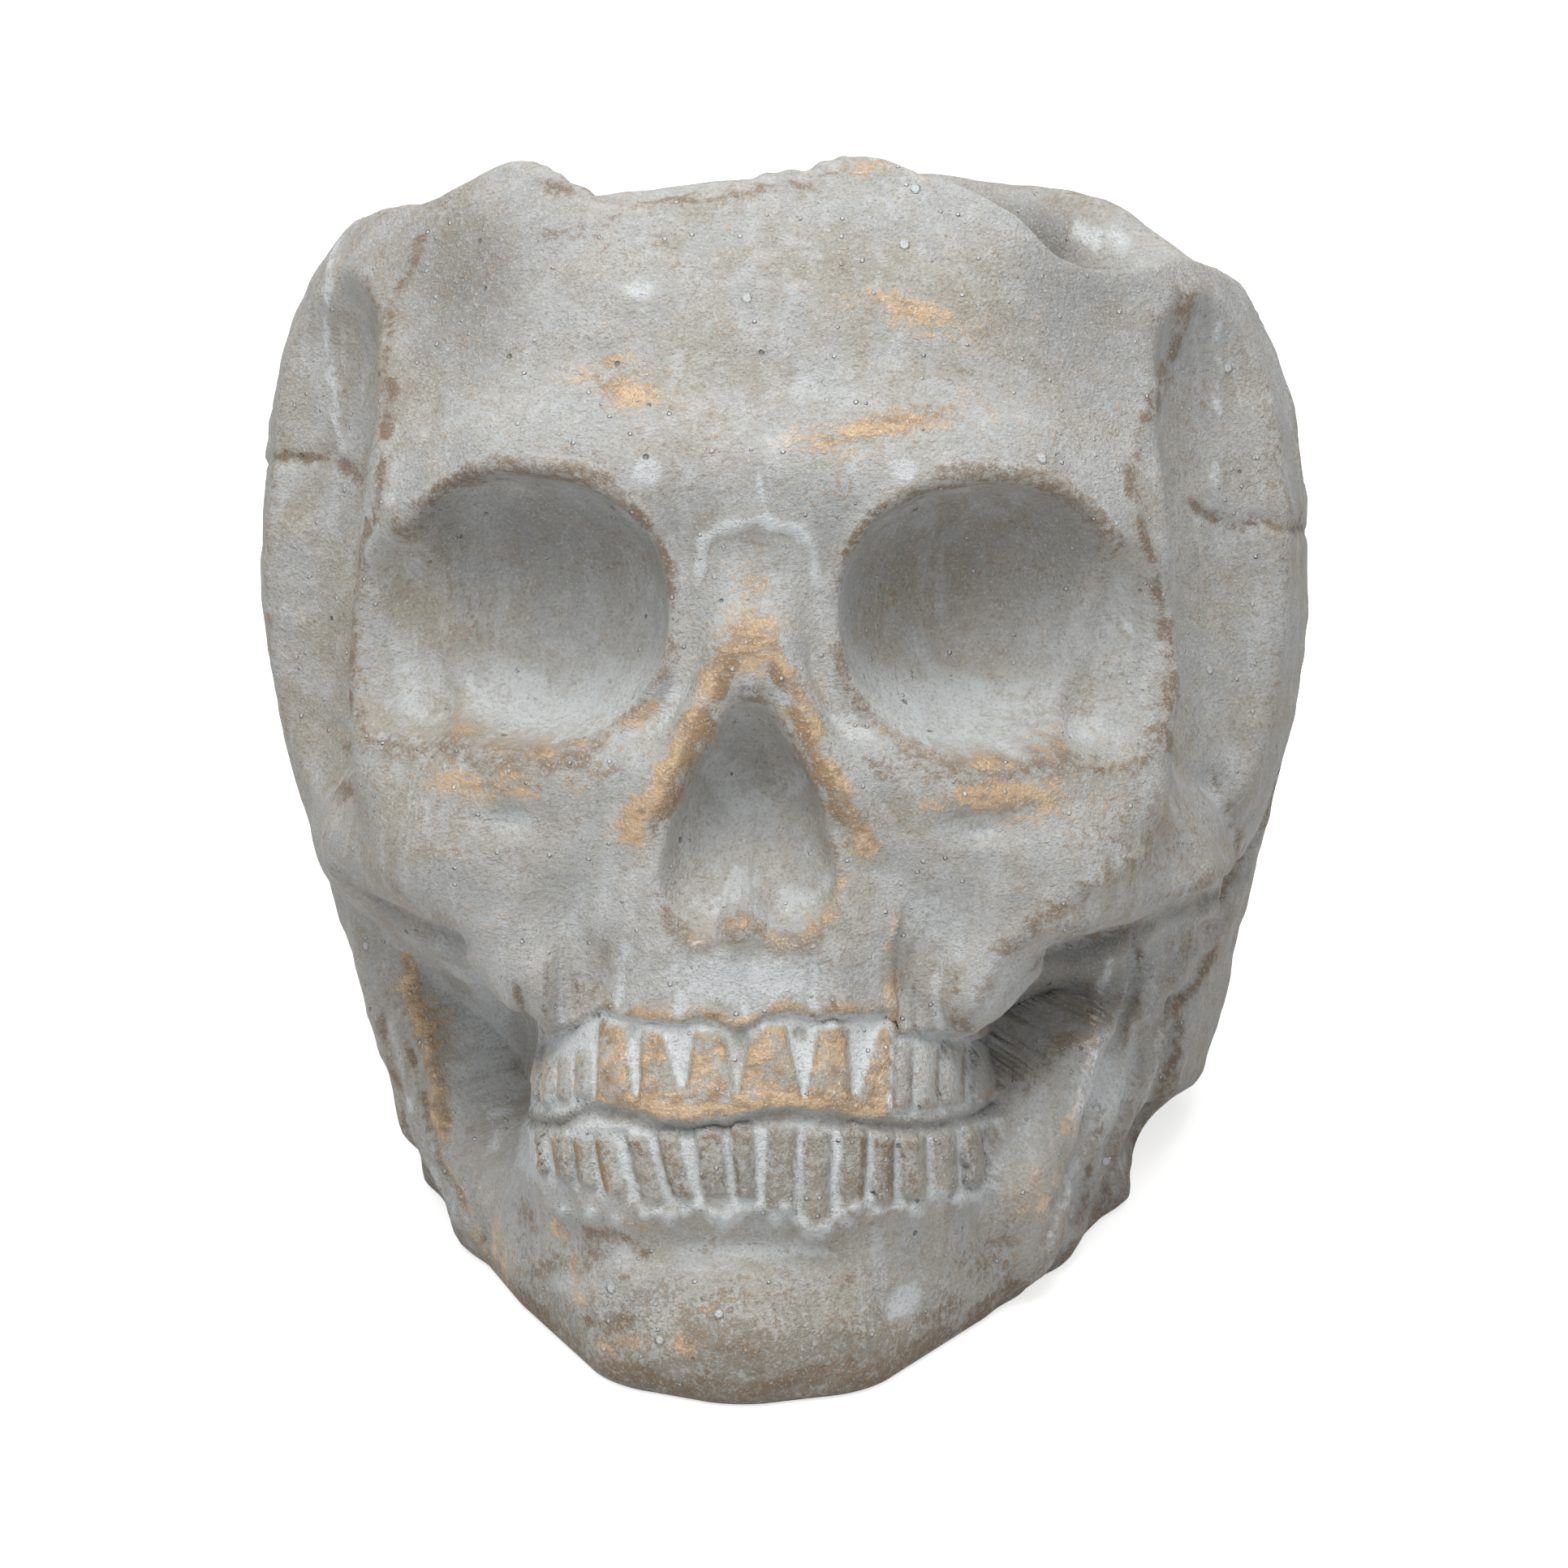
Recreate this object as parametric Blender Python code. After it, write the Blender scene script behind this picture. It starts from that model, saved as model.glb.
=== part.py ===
# Skull candle: a cast cement skull with an open crown, a wax fill, a wick and its foot.
# Lengths below are millimetres; MM turns them into Blender's metres.
# The face looks along -Y and the skull stands on z = 0.
# Face points are (right, back, up) from the middle of the face, tilted back by FACE_TILT.
import math

import bmesh
import bpy
import numpy as np
from mathutils import Matrix

MM = 0.001

# Stance of the face on its flat base
FACE_TILT = math.radians(18.5)
CHIN_FOOT = (0.0, -55.0, -64.0)
RAY_AXIS_Y = 78.0

# Braincase and neck
BRAINCASE_CENTRE = (-0.4, 5.0, 25.0)
BRAINCASE_HALF_WIDTH = 58.3
BRAINCASE_HALF_DEPTH = 59.0
BRAINCASE_UP = 62.0
BRAINCASE_DOWN = 56.0
BRAINCASE_SQUARENESS = 2.4
NECK_CENTRE = (0.3, 22.0, 8.0)
NECK_HALF_SIZE = (52.2, 42.0, 73.0)

# Face blocks
MAXILLA_CENTRE = (0.0, -22.0, -12.0)
MAXILLA_HALF_SIZE = (23.0, 34.0, 26.0)
DENTAL_CENTRE = (0.0, -24.0, -37.0)
DENTAL_HALF_SIZE = (25.0, 33.0, 22.0)
DENTAL_SQUARENESS = 2.6

# Eye sockets, their outer flare, and the nose opening
EYE_X = 24.4
EYE_HEIGHT = 17.6
EYE_HALF_WIDTH = 15.4
EYE_HALF_HEIGHT = 14.0
EYE_DEPTH = 16.0
EYE_FACE_Y = -54.0
EYE_SQUARENESS = 2.25
FLARE_CENTRE = (36.5, -46.5, 14.5)
FLARE_HALF_SIZE = (8.0, 7.5, 10.5)
FLARE_SQUARENESS = 2.2
NOSE_OPENING = [(0, -54.5, 5.6, 2.3), (1.6, -53.0, -0.5, 4.7), (4.0, -58.0, -9.6, 6.4)]
NOSE_FACE_Y = -55.0
NOSE_DEPTH_STRETCH = 1.5
BRIDGE_WIDTH_STRETCH = 1.5

# Chin
CHIN_RADIUS = 12.0
CHIN_HEIGHT = -56.5
CHIN_FRONT_Y = -45.7

# Rounding where one form runs into the next
NECK_BLEND = 6.0
MAXILLA_BLEND = 6.0
DENTAL_BLEND = 5.0
TEMPLE_BLEND = 1.2
BROW_BLEND = 7.0
PILLAR_BLEND = 2.0
CHEEKBONE_BLEND = 3.5
LOWER_RIM_BLEND = 3.0
BUTTRESS_BLEND = 5.0
JAW_BLEND = 5.0
BRANCH_BLEND = 3.0
PLATE_BLEND = 2.5
NECK_CUT_BLEND = 1.6
FLARE_BLEND = 2.0
SOCKET_BLEND = 1.2
BRIDGE_BLEND = 0.9
RIDGE_BLEND = 2.0
NOSE_BLEND = 0.8
SPINE_BLEND = 1.8
HOLLOW_BLEND = 1.4

# Crown rim, well and floor
RIM_WALL = 9.2
RIM_ROUND = 4.6
FOOT_ROUND = 1.6
WELL_CENTRE_Y = 95.0
WELL_TOP_HALF_WIDTH = 42.0
WELL_TOP_HALF_DEPTH = 41.0
WELL_FLOOR_HALF_WIDTH = 35.0
WELL_FLOOR_HALF_DEPTH = 34.0
WELL_SQUARENESS = 2.3
WELL_LIP_BLEND = 20.0
WELL_FLOOR = 16.0
WELL_FLOOR_FILLET = 6.0
WELL_TOP = 110.0

# Candle
CLEARANCE = 0.3
WAX_LEVEL = 74.0
WAX_DISH_RADIUS = 12.0
WAX_DISH_DEPTH = 1.2
WAX_DISH_MIDDLE = 0.84
WICK_X = 0.0
WICK_Y = WELL_CENTRE_Y
WICK_RADIUS = 1.1
WICK_STAND = 9.0
TAB_RADIUS = 10.0
TAB_THICKNESS = 0.6
TAB_COLLAR_RADIUS = 2.3
TAB_COLLAR_HEIGHT = 4.0

# Mesh fineness
COLUMNS = 120
FRONT_FINENESS = 0.75
CROWDING_POWER = 3.0
FOOT_ROWS = 4
MOUTH_ROWS = 17
MOUTH_BAND_FOOT = 14.0
MOUTH_BAND_TOP = 41.0
UPPER_ROWS = 17
RIM_ROWS = 4
LIP_ROWS = 3
WELL_ROWS = 2
ROUND_SIDES = 20
SANDING = 0.35
SOLVE_STEPS = 90
SOLVE_STRIDE = 0.72
SOLVE_START = 95.0
SOLVE_GAP = 0.01
HALVINGS = 40
FULL_TURN = 360
SHARP_ANGLE = math.radians(50)
MERGE_DISTANCE = 1e-7
TINY = 1e-9

# Crown height above the base at angles around it, 0 at the forehead, positive to the right
RIM_ANGLES = [
    -172, -148, -130, -113, -98, -83, -74, -67, -60, -53, -47, -39, -30, -18,
    5, 16, 25, 33, 41, 47, 53, 60, 73, 83, 96, 112, 126, 137, 146, 158,
]
RIM_HEIGHTS = [
    98.6, 96.0, 98.0, 102.5, 105.4, 108.6, 109.8, 112.0, 115.8, 117.5, 116.7, 114.8, 114.2, 115.7,
    118.4, 119.7, 118.9, 116.6, 113.8, 110.1, 107.0, 106.6, 105.7, 103.2, 100.0, 96.5, 93.6, 94.6,
    97.6, 97.7,
]

# Limbs of the face as chains of round points: right, back, up, radius
BROW = [
    (0, -50, 31, 6.0), (14, -49, 32, 7.0), (26, -45.8, 32, 6.6), (34, -41.2, 28.6, 5.2), (38, -38, 25, 3.8),
]
LOWER_RIM = [(11, -51.5, 1.5, 3.0), (20, -49.8, 0.4, 3.6), (30, -45.8, 1.4, 3.8), (36.5, -41.5, 3.5, 3.4)]
EYE_PILLAR = [(38.4, -37.4, 27, 2.6), (40.4, -37.5, 20, 3.0), (40.4, -38.5, 10, 3.4), (38, -40, 0, 5)]
CHEEKBONE = [
    (18, -47, -3.5, 6), (31, -42.5, -6, 7.4), (41, -30, -7, 6.6),
    (44.7, -12, -6.5, 5.0), (45.6, -3, -6.0, 4.2),
]
CHEEK_BUTTRESS = [(32, -41, -8, 6.5), (23, -44.5, -20, 4.5)]
JAW_BODY = [(6, -43.5, -56, 11.5), (16.1, -29, -51, 10.4), (23.6, -14, -46, 10.1), (28, 0, -41, 11)]
JAW_BRANCH = [(43, -5, -14, 4.5), (39.9, -8, -25, 5.1), (35, -12, -37, 5.9), (28, -17, -45, 7)]
JAW_BACK = [(43, 10, -12, 5.5), (39, 6, -28, 6), (32.5, 2, -42, 7)]
MASTOID = [(44.5, 16, -12, 5.5), (42.5, 14, -21, 4.5)]
RIGHT_JAW_PLATE = [(39.5, -10, -17, 3.2), (36, -16, -26, 4.6), (31.5, -23, -37, 5.4), (27, -27, -47, 6)]
NOSE_BRIDGE = [(0, -48.2, 26, 4.2), (0, -51.0, 19.5, 3.9), (0, -53.9, 14, 3.4), (0, -54.6, 11, 2.4)]
NOSE_RIDGE = [(2.0, -54.4, 13.5, 2.6), (5.6, -54.0, 6, 2.5), (9.0, -53.0, 0, 2.4), (11.8, -51.0, -5, 2.6)]
NOSE_SPINE = [(-0.7, -55.4, -15.3, 1.2), (-0.6, -53, -13.9, 1.9)]
TEMPLE_HOLLOW = [
    (61, -33, 60, 12.5), (58.8, -36, 43, 17.6), (58.2, -36, 25, 18), (60, -33, 6, 17), (62, -28, -4, 13),
]
ARCH_GAP = [(54.8, 6, 3, 4.5), (54.2, 5, -6, 5.0), (53, 5, -14, 4.5)]
NECK_CUT = [(49.6, 3, -42, 9.8), (48.8, 25, -43, 9.8), (40, 48, -46, 9.4)]
LEFT_CHEEK_HOLLOW = [
    (-37, -24, -19.5, 3.6), (-32.5, -30, -23, 5.8), (-30.8, -33, -31, 4.8), (-28.8, -36, -39, 3.0),
]
RIGHT_CHEEK_HOLLOW = [(38.5, -23, -17.5, 3.2), (32, -31, -20.5, 5.6), (28.8, -35, -27, 3.4)]

# Soft dents of the face: centre, half size, depth; a negative depth stands proud
FACE_DENTS = [
    ((-32.7, -40, 51.8), (6.5, 9, 7), 1.9), ((32.9, -40, 49.6), (7, 9, 7), 1.4),
    ((-24, -50, -4.6), (6, 7, 1.7), 1.7), ((22.6, -50, -3.4), (6, 7, 1.5), 1.5),
    ((-19, -50, -12), (6, 8, 6), 0.7), ((20, -50, -12), (6, 8, 6), 0.6),
    ((0, -53, -47.5), (16, 8, 3.2), 1.8), ((-17.9, -52, -53.6), (3.2, 6, 2.6), -1.2),
]
FACE_DENT_LIMIT_Y = -20.0

# Soft dents along the sides of the braincase
SIDE_DENTS = [
    ((52, 0, 66), (22, 60, 21), 3.3), ((-52, 0, 68), (20, 60, 10), 2.6),
    ((-58, 0, 5), (14, 30, 9), 0.8), ((-50, 0, -15), (12, 26, 7), -1.3),
]

# Tooth line heights across the mouth: right, up
GUM_LINE = [
    (-26, -27), (-20.5, -26.6), (-18.3, -25.5), (-15.5, -23), (-11, -24.4), (-6.7, -24.8), (-3.5, -24.1),
    (-0.8, -25), (4.5, -23.2), (14.4, -23.3), (17.1, -26.2), (26, -26.3),
]
BITE_LINE = [(-25, -35.3), (-15.3, -33.4), (-6.5, -34.8), (5.2, -33.5), (18.3, -34.7), (26, -34)]
LOWER_TOP = [(-24, -37), (-15.2, -35.9), (2.1, -35), (12.6, -36.1), (24, -35.9)]
LOWER_FOOT = [
    (-24, -42.2), (-14.5, -42.9), (-7.8, -44.9), (1.2, -43.9), (7.6, -45.9), (15.4, -44.3), (24, -42.9),
]

# Upper teeth: place at the top, place at the edge, half width at the top and at the edge
UPPER_TEETH = [
    (-20.2, -28.2, -20.3, -34.4, 0.9, 0.9), (-17.4, -28.1, -17.3, -32.9, 1.1, 1.2),
    (-14.9, -26.2, -14.2, -32.6, 1.1, 2.1), (-9.6, -26.8, -8.1, -33.8, 1.3, 3.1),
    (-3.6, -27.6, -3.0, -34.0, 1.6, 3.0), (2.9, -25.9, 3.6, -32.9, 1.5, 3.1),
    (9.5, -25.5, 8.8, -32.6, 1.0, 2.8), (14.2, -25.3, 13.2, -33.4, 1.0, 1.8),
    (16.6, -26.8, 16.8, -33.4, 1.1, 1.1), (19.2, -26.8, 19.3, -33.4, 1.0, 1.0),
]

# Lower teeth in the same order
LOWER_TEETH = [
    (-20.0, -37.8, -19.6, -42.4, 1.0, 1.0), (-17.4, -37.5, -16.7, -42.4, 1.1, 1.2),
    (-14.6, -36.4, -13.4, -42.8, 1.2, 1.3), (-11.3, -36.3, -9.5, -43.7, 1.3, 1.4),
    (-8.0, -36.1, -5.7, -43.5, 1.3, 1.4), (-4.0, -35.8, -2.5, -43.4, 1.4, 1.5),
    (-0.8, -35.6, 0.2, -43.4, 1.2, 1.3), (2.0, -35.5, 1.9, -43.3, 1.2, 1.3),
    (4.7, -35.5, 4.6, -43.8, 1.2, 1.3), (8.0, -35.9, 7.6, -45.4, 1.4, 1.5),
    (11.6, -36.4, 11.7, -44.3, 1.2, 1.3), (14.7, -36.3, 14.6, -44.3, 1.2, 1.3),
    (17.3, -36.4, 17.5, -43.8, 1.0, 1.1), (19.4, -36.4, 19.8, -43.3, 0.9, 1.0),
]
TOOTH_SWELL_POWER = 2.6
TOOTH_SWELL_ROOT = 0.55
TOOTH_EDGE_BLEND = 0.9
TOOTH_ROW_HALF_WIDTH = 26.5
TOOTH_ROW_FADE = 4.0
TOOTH_ROW_LIMIT_Y = -25.0
UPPER_RECESS = 1.0
UPPER_RELIEF = 1.25
LOWER_RECESS = 0.6
LOWER_RELIEF = 1.25
BITE_DEPTH = 2.1
BITE_HALF_HEIGHT = 1.0
BITE_DROP = 0.55
LINE_BLEND = 1.0

COLOURS = {
    "skull_vessel": ((0.46, 0.45, 0.42, 1.0), 0.85, 0.0),
    "wax_fill": ((0.83, 0.78, 0.66, 1.0), 0.45, 0.0),
    "wick": ((0.80, 0.76, 0.66, 1.0), 0.9, 0.0),
    "wick_tab": ((0.62, 0.62, 0.61, 1.0), 0.35, 1.0),
}


def to_face(points):
    """Turn points above the base into the tilted frame of the face."""
    out = np.empty_like(points)
    back = points[:, 1] * math.cos(FACE_TILT) - points[:, 2] * math.sin(FACE_TILT)
    up = points[:, 1] * math.sin(FACE_TILT) + points[:, 2] * math.cos(FACE_TILT)
    out[:, 0] = points[:, 0]
    out[:, 1] = CHIN_FOOT[1] + back
    out[:, 2] = CHIN_FOOT[2] + up
    return out


def join(first, second, blend):
    """Smooth union of two distance fields."""
    overlap = np.maximum(blend - np.abs(first - second), 0) / blend
    return np.minimum(first, second) - overlap * overlap * blend / 4


def carve(body, tool, blend):
    """Smooth cut of a tool out of a body."""
    return -join(-body, tool, blend)


def block(points, centre, half_size, squareness, down=None):
    """Rounded block; down gives its lower half another height."""
    away = points - np.array(centre, float)
    share = np.abs(away) / np.array(half_size, float)
    if down is not None:
        share[:, 2] = np.where(away[:, 2] < 0, np.abs(away[:, 2]) / down, share[:, 2])
    reach = (share ** squareness).sum(1) ** (1 / squareness) + TINY
    return np.linalg.norm(away, axis=1) * (reach - 1) / reach


def limb(points, chain):
    """Chain of round cones through the given points and radii."""
    field = None
    for start, end in zip(chain[:-1], chain[1:]):
        origin = np.array(start[:3], float)
        run = np.array(end[:3], float) - origin
        share = np.clip(((points - origin) @ run) / (run @ run), 0, 1)
        radius = start[3] + (end[3] - start[3]) * share
        piece = np.linalg.norm(points - origin - share[:, None] * run, axis=1) - radius
        field = piece if field is None else np.minimum(field, piece)
    return field


def smooth(value, low, high):
    """Smooth step from 0 at low to 1 at high."""
    share = np.clip((value - low) / (high - low), 0, 1)
    return share * share * (3 - 2 * share)


def line_height(line, across):
    """Height of an outline at each place across it."""
    table = np.array(line, float)
    return np.interp(across, table[:, 0], table[:, 1])


def stretched(points, axis, factor, middle):
    """Points squeezed towards a middle, which stretches the form measured there."""
    squeezed = points.copy()
    squeezed[:, axis] = (points[:, axis] - middle) / factor + middle
    return squeezed


def skull_field(points):
    """Distance to the outer skull, negative inside, from big forms to cuts."""
    both = points.copy()
    both[:, 0] = np.abs(both[:, 0])
    half_size = (BRAINCASE_HALF_WIDTH, BRAINCASE_HALF_DEPTH, BRAINCASE_UP)
    body = block(points, BRAINCASE_CENTRE, half_size, BRAINCASE_SQUARENESS, BRAINCASE_DOWN)
    body = join(body, block(points, NECK_CENTRE, NECK_HALF_SIZE, BRAINCASE_SQUARENESS), NECK_BLEND)
    maxilla = block(both, MAXILLA_CENTRE, MAXILLA_HALF_SIZE, BRAINCASE_SQUARENESS)
    body = join(body, maxilla, MAXILLA_BLEND)
    body = join(body, block(both, DENTAL_CENTRE, DENTAL_HALF_SIZE, DENTAL_SQUARENESS), DENTAL_BLEND)
    body = carve(body, limb(both, TEMPLE_HOLLOW), TEMPLE_BLEND)
    body = join(body, limb(both, BROW), BROW_BLEND)
    body = join(body, limb(both, EYE_PILLAR), PILLAR_BLEND)
    body = join(body, limb(both, CHEEKBONE), CHEEKBONE_BLEND)
    body = join(body, limb(both, LOWER_RIM), LOWER_RIM_BLEND)
    body = join(body, limb(both, CHEEK_BUTTRESS), BUTTRESS_BLEND)
    chin = (0, CHIN_FRONT_Y, CHIN_HEIGHT, CHIN_RADIUS)
    body = join(body, limb(both, [chin] + JAW_BODY), JAW_BLEND)
    body = join(body, limb(both, JAW_BRANCH), BRANCH_BLEND)
    body = join(body, limb(both, JAW_BACK), BRANCH_BLEND)
    body = join(body, limb(both, MASTOID), PLATE_BLEND)
    body = join(body, limb(points, RIGHT_JAW_PLATE), PLATE_BLEND)
    body = carve(body, limb(both, ARCH_GAP), NECK_CUT_BLEND)
    body = carve(body, limb(both, NECK_CUT), NECK_CUT_BLEND)
    body = carve(body, block(both, FLARE_CENTRE, FLARE_HALF_SIZE, FLARE_SQUARENESS), FLARE_BLEND)
    socket = (EYE_X, EYE_FACE_Y, EYE_HEIGHT)
    socket_size = (EYE_HALF_WIDTH, EYE_DEPTH, EYE_HALF_HEIGHT)
    body = carve(body, block(both, socket, socket_size, EYE_SQUARENESS), SOCKET_BLEND)
    bridge = limb(stretched(points, 0, BRIDGE_WIDTH_STRETCH, 0), NOSE_BRIDGE)
    body = join(body, bridge, BRIDGE_BLEND)
    body = join(body, limb(both, NOSE_RIDGE), RIDGE_BLEND)
    opening = limb(stretched(both, 1, NOSE_DEPTH_STRETCH, NOSE_FACE_Y), NOSE_OPENING)
    body = carve(body, opening, NOSE_BLEND)
    body = join(body, limb(points, NOSE_SPINE), SPINE_BLEND)
    body = carve(body, limb(points, LEFT_CHEEK_HOLLOW), HOLLOW_BLEND)
    return carve(body, limb(points, RIGHT_CHEEK_HOLLOW), HOLLOW_BLEND)


def tooth(across, up, row):
    """How far one tooth stands proud at each place, 0 to 1."""
    top_x, top, edge_x, edge, top_half, edge_half = row
    share = np.clip((top - up) / (top - edge), 0, 1)
    centre = top_x + (edge_x - top_x) * share
    half = top_half + (edge_half - top_half) * share
    side = np.abs((across - centre) / half) ** TOOTH_SWELL_POWER
    swell = np.clip(1 - side, 0, 1) ** TOOTH_SWELL_ROOT
    return swell * smooth(up - edge, 0, TOOTH_EDGE_BLEND) * smooth(top - up, 0, TOOTH_EDGE_BLEND)


def mouth_relief(points):
    """Inward offset of the tooth rows, the gum ledge and the bite line."""
    relief = np.zeros(len(points))
    near = (np.abs(points[:, 0]) < TOOTH_ROW_HALF_WIDTH) & (points[:, 1] < TOOTH_ROW_LIMIT_Y)
    if not near.any():
        return relief
    across = points[near, 0]
    up = points[near, 2]
    bite = line_height(BITE_LINE, across)
    over_bite = smooth(up - bite, -LINE_BLEND / 2, LINE_BLEND / 2)
    depth = UPPER_RECESS * smooth(line_height(GUM_LINE, across) - up, 0, LINE_BLEND) * over_bite
    over_foot = smooth(up - line_height(LOWER_FOOT, across), -LINE_BLEND / 2, LINE_BLEND / 2)
    under_top = smooth(line_height(LOWER_TOP, across) - up, -LINE_BLEND / 2, LINE_BLEND / 2)
    depth = depth + LOWER_RECESS * over_foot * under_top
    for row in UPPER_TEETH:
        depth = depth - UPPER_RELIEF * tooth(across, up, row)
    for row in LOWER_TEETH:
        depth = depth - LOWER_RELIEF * tooth(across, up, row)
    gap = (up - bite + BITE_DROP) / BITE_HALF_HEIGHT
    depth = depth + BITE_DEPTH * np.exp(-gap * gap)
    relief[near] = depth * smooth(TOOTH_ROW_HALF_WIDTH - np.abs(across), 0, TOOTH_ROW_FADE)
    return relief


def dents(points, rows):
    """Inward offset of soft dents and bumps."""
    depth = np.zeros(len(points))
    for centre, half_size, deep in rows:
        away = (points - np.array(centre, float)) / np.array(half_size, float)
        depth += deep * np.exp(-(away * away).sum(1))
    return depth


def outer_field(points):
    """The whole outer surface, with its relief."""
    face = to_face(points)
    front = face[:, 1] < FACE_DENT_LIMIT_Y
    relief = mouth_relief(face) + dents(face, FACE_DENTS) * front + dents(face, SIDE_DENTS)
    return skull_field(face) + relief


def outer_radius(angle, height):
    """Distance from the upright axis to the outermost skin, walked in from outside."""
    radius = np.full(angle.shape, SOLVE_START)
    live = np.arange(len(angle))
    for _ in range(SOLVE_STEPS):
        here = np.stack([
            np.sin(angle[live]) * radius[live],
            RAY_AXIS_Y - np.cos(angle[live]) * radius[live],
            height[live]], 1)
        gap = outer_field(here)
        radius[live] = radius[live] - np.maximum(gap, 0) * SOLVE_STRIDE
        live = live[gap > SOLVE_GAP]
        if len(live) == 0:
            break
    return radius


def column_angles(count):
    """Angles round the axis, closer together across the face."""
    share = 2 * np.arange(count) / count - 1
    even = (1 - FRONT_FINENESS) * share
    return math.pi * (even + FRONT_FINENESS * np.sign(share) * np.abs(share) ** CROWDING_POWER)


def rim_height(angle):
    """Height of the broken crown, a smooth closed curve through the crown's points."""
    places = np.array(RIM_ANGLES, float)
    heights = np.array(RIM_HEIGHTS, float)
    places = np.concatenate([places[-2:] - FULL_TURN, places, places[:3] + FULL_TURN])
    heights = np.concatenate([heights[-2:], heights, heights[:3]])
    degrees = (np.degrees(angle) - RIM_ANGLES[0]) % FULL_TURN + RIM_ANGLES[0]
    i = np.searchsorted(places, degrees, side="right") - 1
    step = places[i + 1] - places[i]
    share = (degrees - places[i]) / step
    rise = (heights[i + 1] - heights[i - 1]) / (places[i + 1] - places[i - 1]) * step
    next_rise = (heights[i + 2] - heights[i]) / (places[i + 2] - places[i]) * step
    cube = share ** 3
    square = share ** 2
    start = (2 * cube - 3 * square + 1) * heights[i] + (cube - 2 * square + share) * rise
    return start + (3 * square - 2 * cube) * heights[i + 1] + (cube - square) * next_rise


def well_radius(angle, height):
    """Tapered oval of the well, measured from the upright axis."""
    share = np.clip((height - WELL_FLOOR) / (WELL_TOP - WELL_FLOOR), 0, 1)
    half_width = WELL_FLOOR_HALF_WIDTH + (WELL_TOP_HALF_WIDTH - WELL_FLOOR_HALF_WIDTH) * share
    half_depth = WELL_FLOOR_HALF_DEPTH + (WELL_TOP_HALF_DEPTH - WELL_FLOOR_HALF_DEPTH) * share
    near = np.zeros_like(angle)
    far = np.full_like(angle, 2 * WELL_TOP_HALF_WIDTH + 2 * WELL_TOP_HALF_DEPTH)
    for _ in range(HALVINGS):
        middle = (near + far) / 2
        across = np.abs(np.sin(angle) * middle) / half_width
        along = np.abs(RAY_AXIS_Y - np.cos(angle) * middle - WELL_CENTRE_Y) / half_depth
        inside = across ** WELL_SQUARENESS + along ** WELL_SQUARENESS < 1
        near = np.where(inside, middle, near)
        far = np.where(inside, far, middle)
    return near


def ring(angle, radius, height):
    """Points round the upright axis, in metres."""
    height = np.broadcast_to(height, angle.shape)
    across = np.sin(angle) * radius
    back = RAY_AXIS_Y - np.cos(angle) * radius
    return np.stack([across, back, height], 1) * MM


def well_levels(top):
    """Ring heights and inward steps from the given level down to the floor."""
    levels = [(top, 0.0)]
    for i in range(1, WELL_ROWS + 1):
        level = top + (WELL_FLOOR + WELL_FLOOR_FILLET - top) * i / WELL_ROWS
        levels.append((level, 0.0))
    for turn in (math.radians(45), math.radians(90)):
        drop = WELL_FLOOR_FILLET * math.sin(turn)
        step = WELL_FLOOR_FILLET * (1 - math.cos(turn))
        levels.append((WELL_FLOOR + WELL_FLOOR_FILLET - drop, step))
    return levels


def loft(name, rings):
    """Closed body from rings, first to last, with a point cap at both ends."""
    count = len(rings[0])
    mesh = bmesh.new()
    bmesh.ops.create_grid(mesh, x_segments=count, y_segments=len(rings) - 1, size=1)
    mesh.verts.ensure_lookup_table()
    for row, points in enumerate(rings):
        for column in range(count + 1):
            mesh.verts[row * (count + 1) + column].co = points[column % count].tolist()
    bmesh.ops.remove_doubles(mesh, verts=mesh.verts, dist=MERGE_DISTANCE)
    bmesh.ops.recalc_face_normals(mesh, faces=mesh.faces)
    bmesh.ops.triangulate(mesh, faces=mesh.faces, quad_method="SHORT_EDGE")
    return add_object(name, mesh)


def add_object(name, mesh):
    """Put a bmesh in the scene as an object with its own material."""
    colour, roughness, metallic = COLOURS[name]
    material = bpy.data.materials.new(name + "_finish")
    material.use_nodes = True
    shader = material.node_tree.nodes["Principled BSDF"]
    shader.inputs["Base Color"].default_value = colour
    shader.inputs["Roughness"].default_value = roughness
    shader.inputs["Metallic"].default_value = metallic
    data = bpy.data.meshes.new(name)
    mesh.to_mesh(data)
    mesh.free()
    data.materials.append(material)
    data.shade_smooth()
    data.set_sharp_from_angle(angle=SHARP_ANGLE)
    part = bpy.data.objects.new(name, data)
    bpy.context.scene.collection.objects.link(part)
    return part


def outer_rows(rim):
    """Row heights from the foot to the rim, closest together over the mouth."""
    foot = np.linspace(FOOT_ROUND, MOUTH_BAND_FOOT, FOOT_ROWS)
    mouth = np.linspace(MOUTH_BAND_FOOT, MOUTH_BAND_TOP, MOUTH_ROWS + 1)[1:]
    upper = np.linspace(MOUTH_BAND_TOP, rim.max() - RIM_ROUND, UPPER_ROWS + 1)[1:]
    rows = np.concatenate([foot, mouth, upper])
    share = (rows - FOOT_ROUND) / (rows[-1] - FOOT_ROUND)
    return [FOOT_ROUND + part * (rim - RIM_ROUND - FOOT_ROUND) for part in share]


def soften(radii):
    """Average each radius with its neighbours, as sanding eases the steps of a coarse mesh."""
    around = (np.roll(radii, 1, axis=1) + np.roll(radii, -1, axis=1)) / 2
    radii = radii + (around - radii) * SANDING
    between = (radii[:-2] + radii[2:]) / 2
    radii[1:-1] += (between - radii[1:-1]) * SANDING
    return radii


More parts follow.
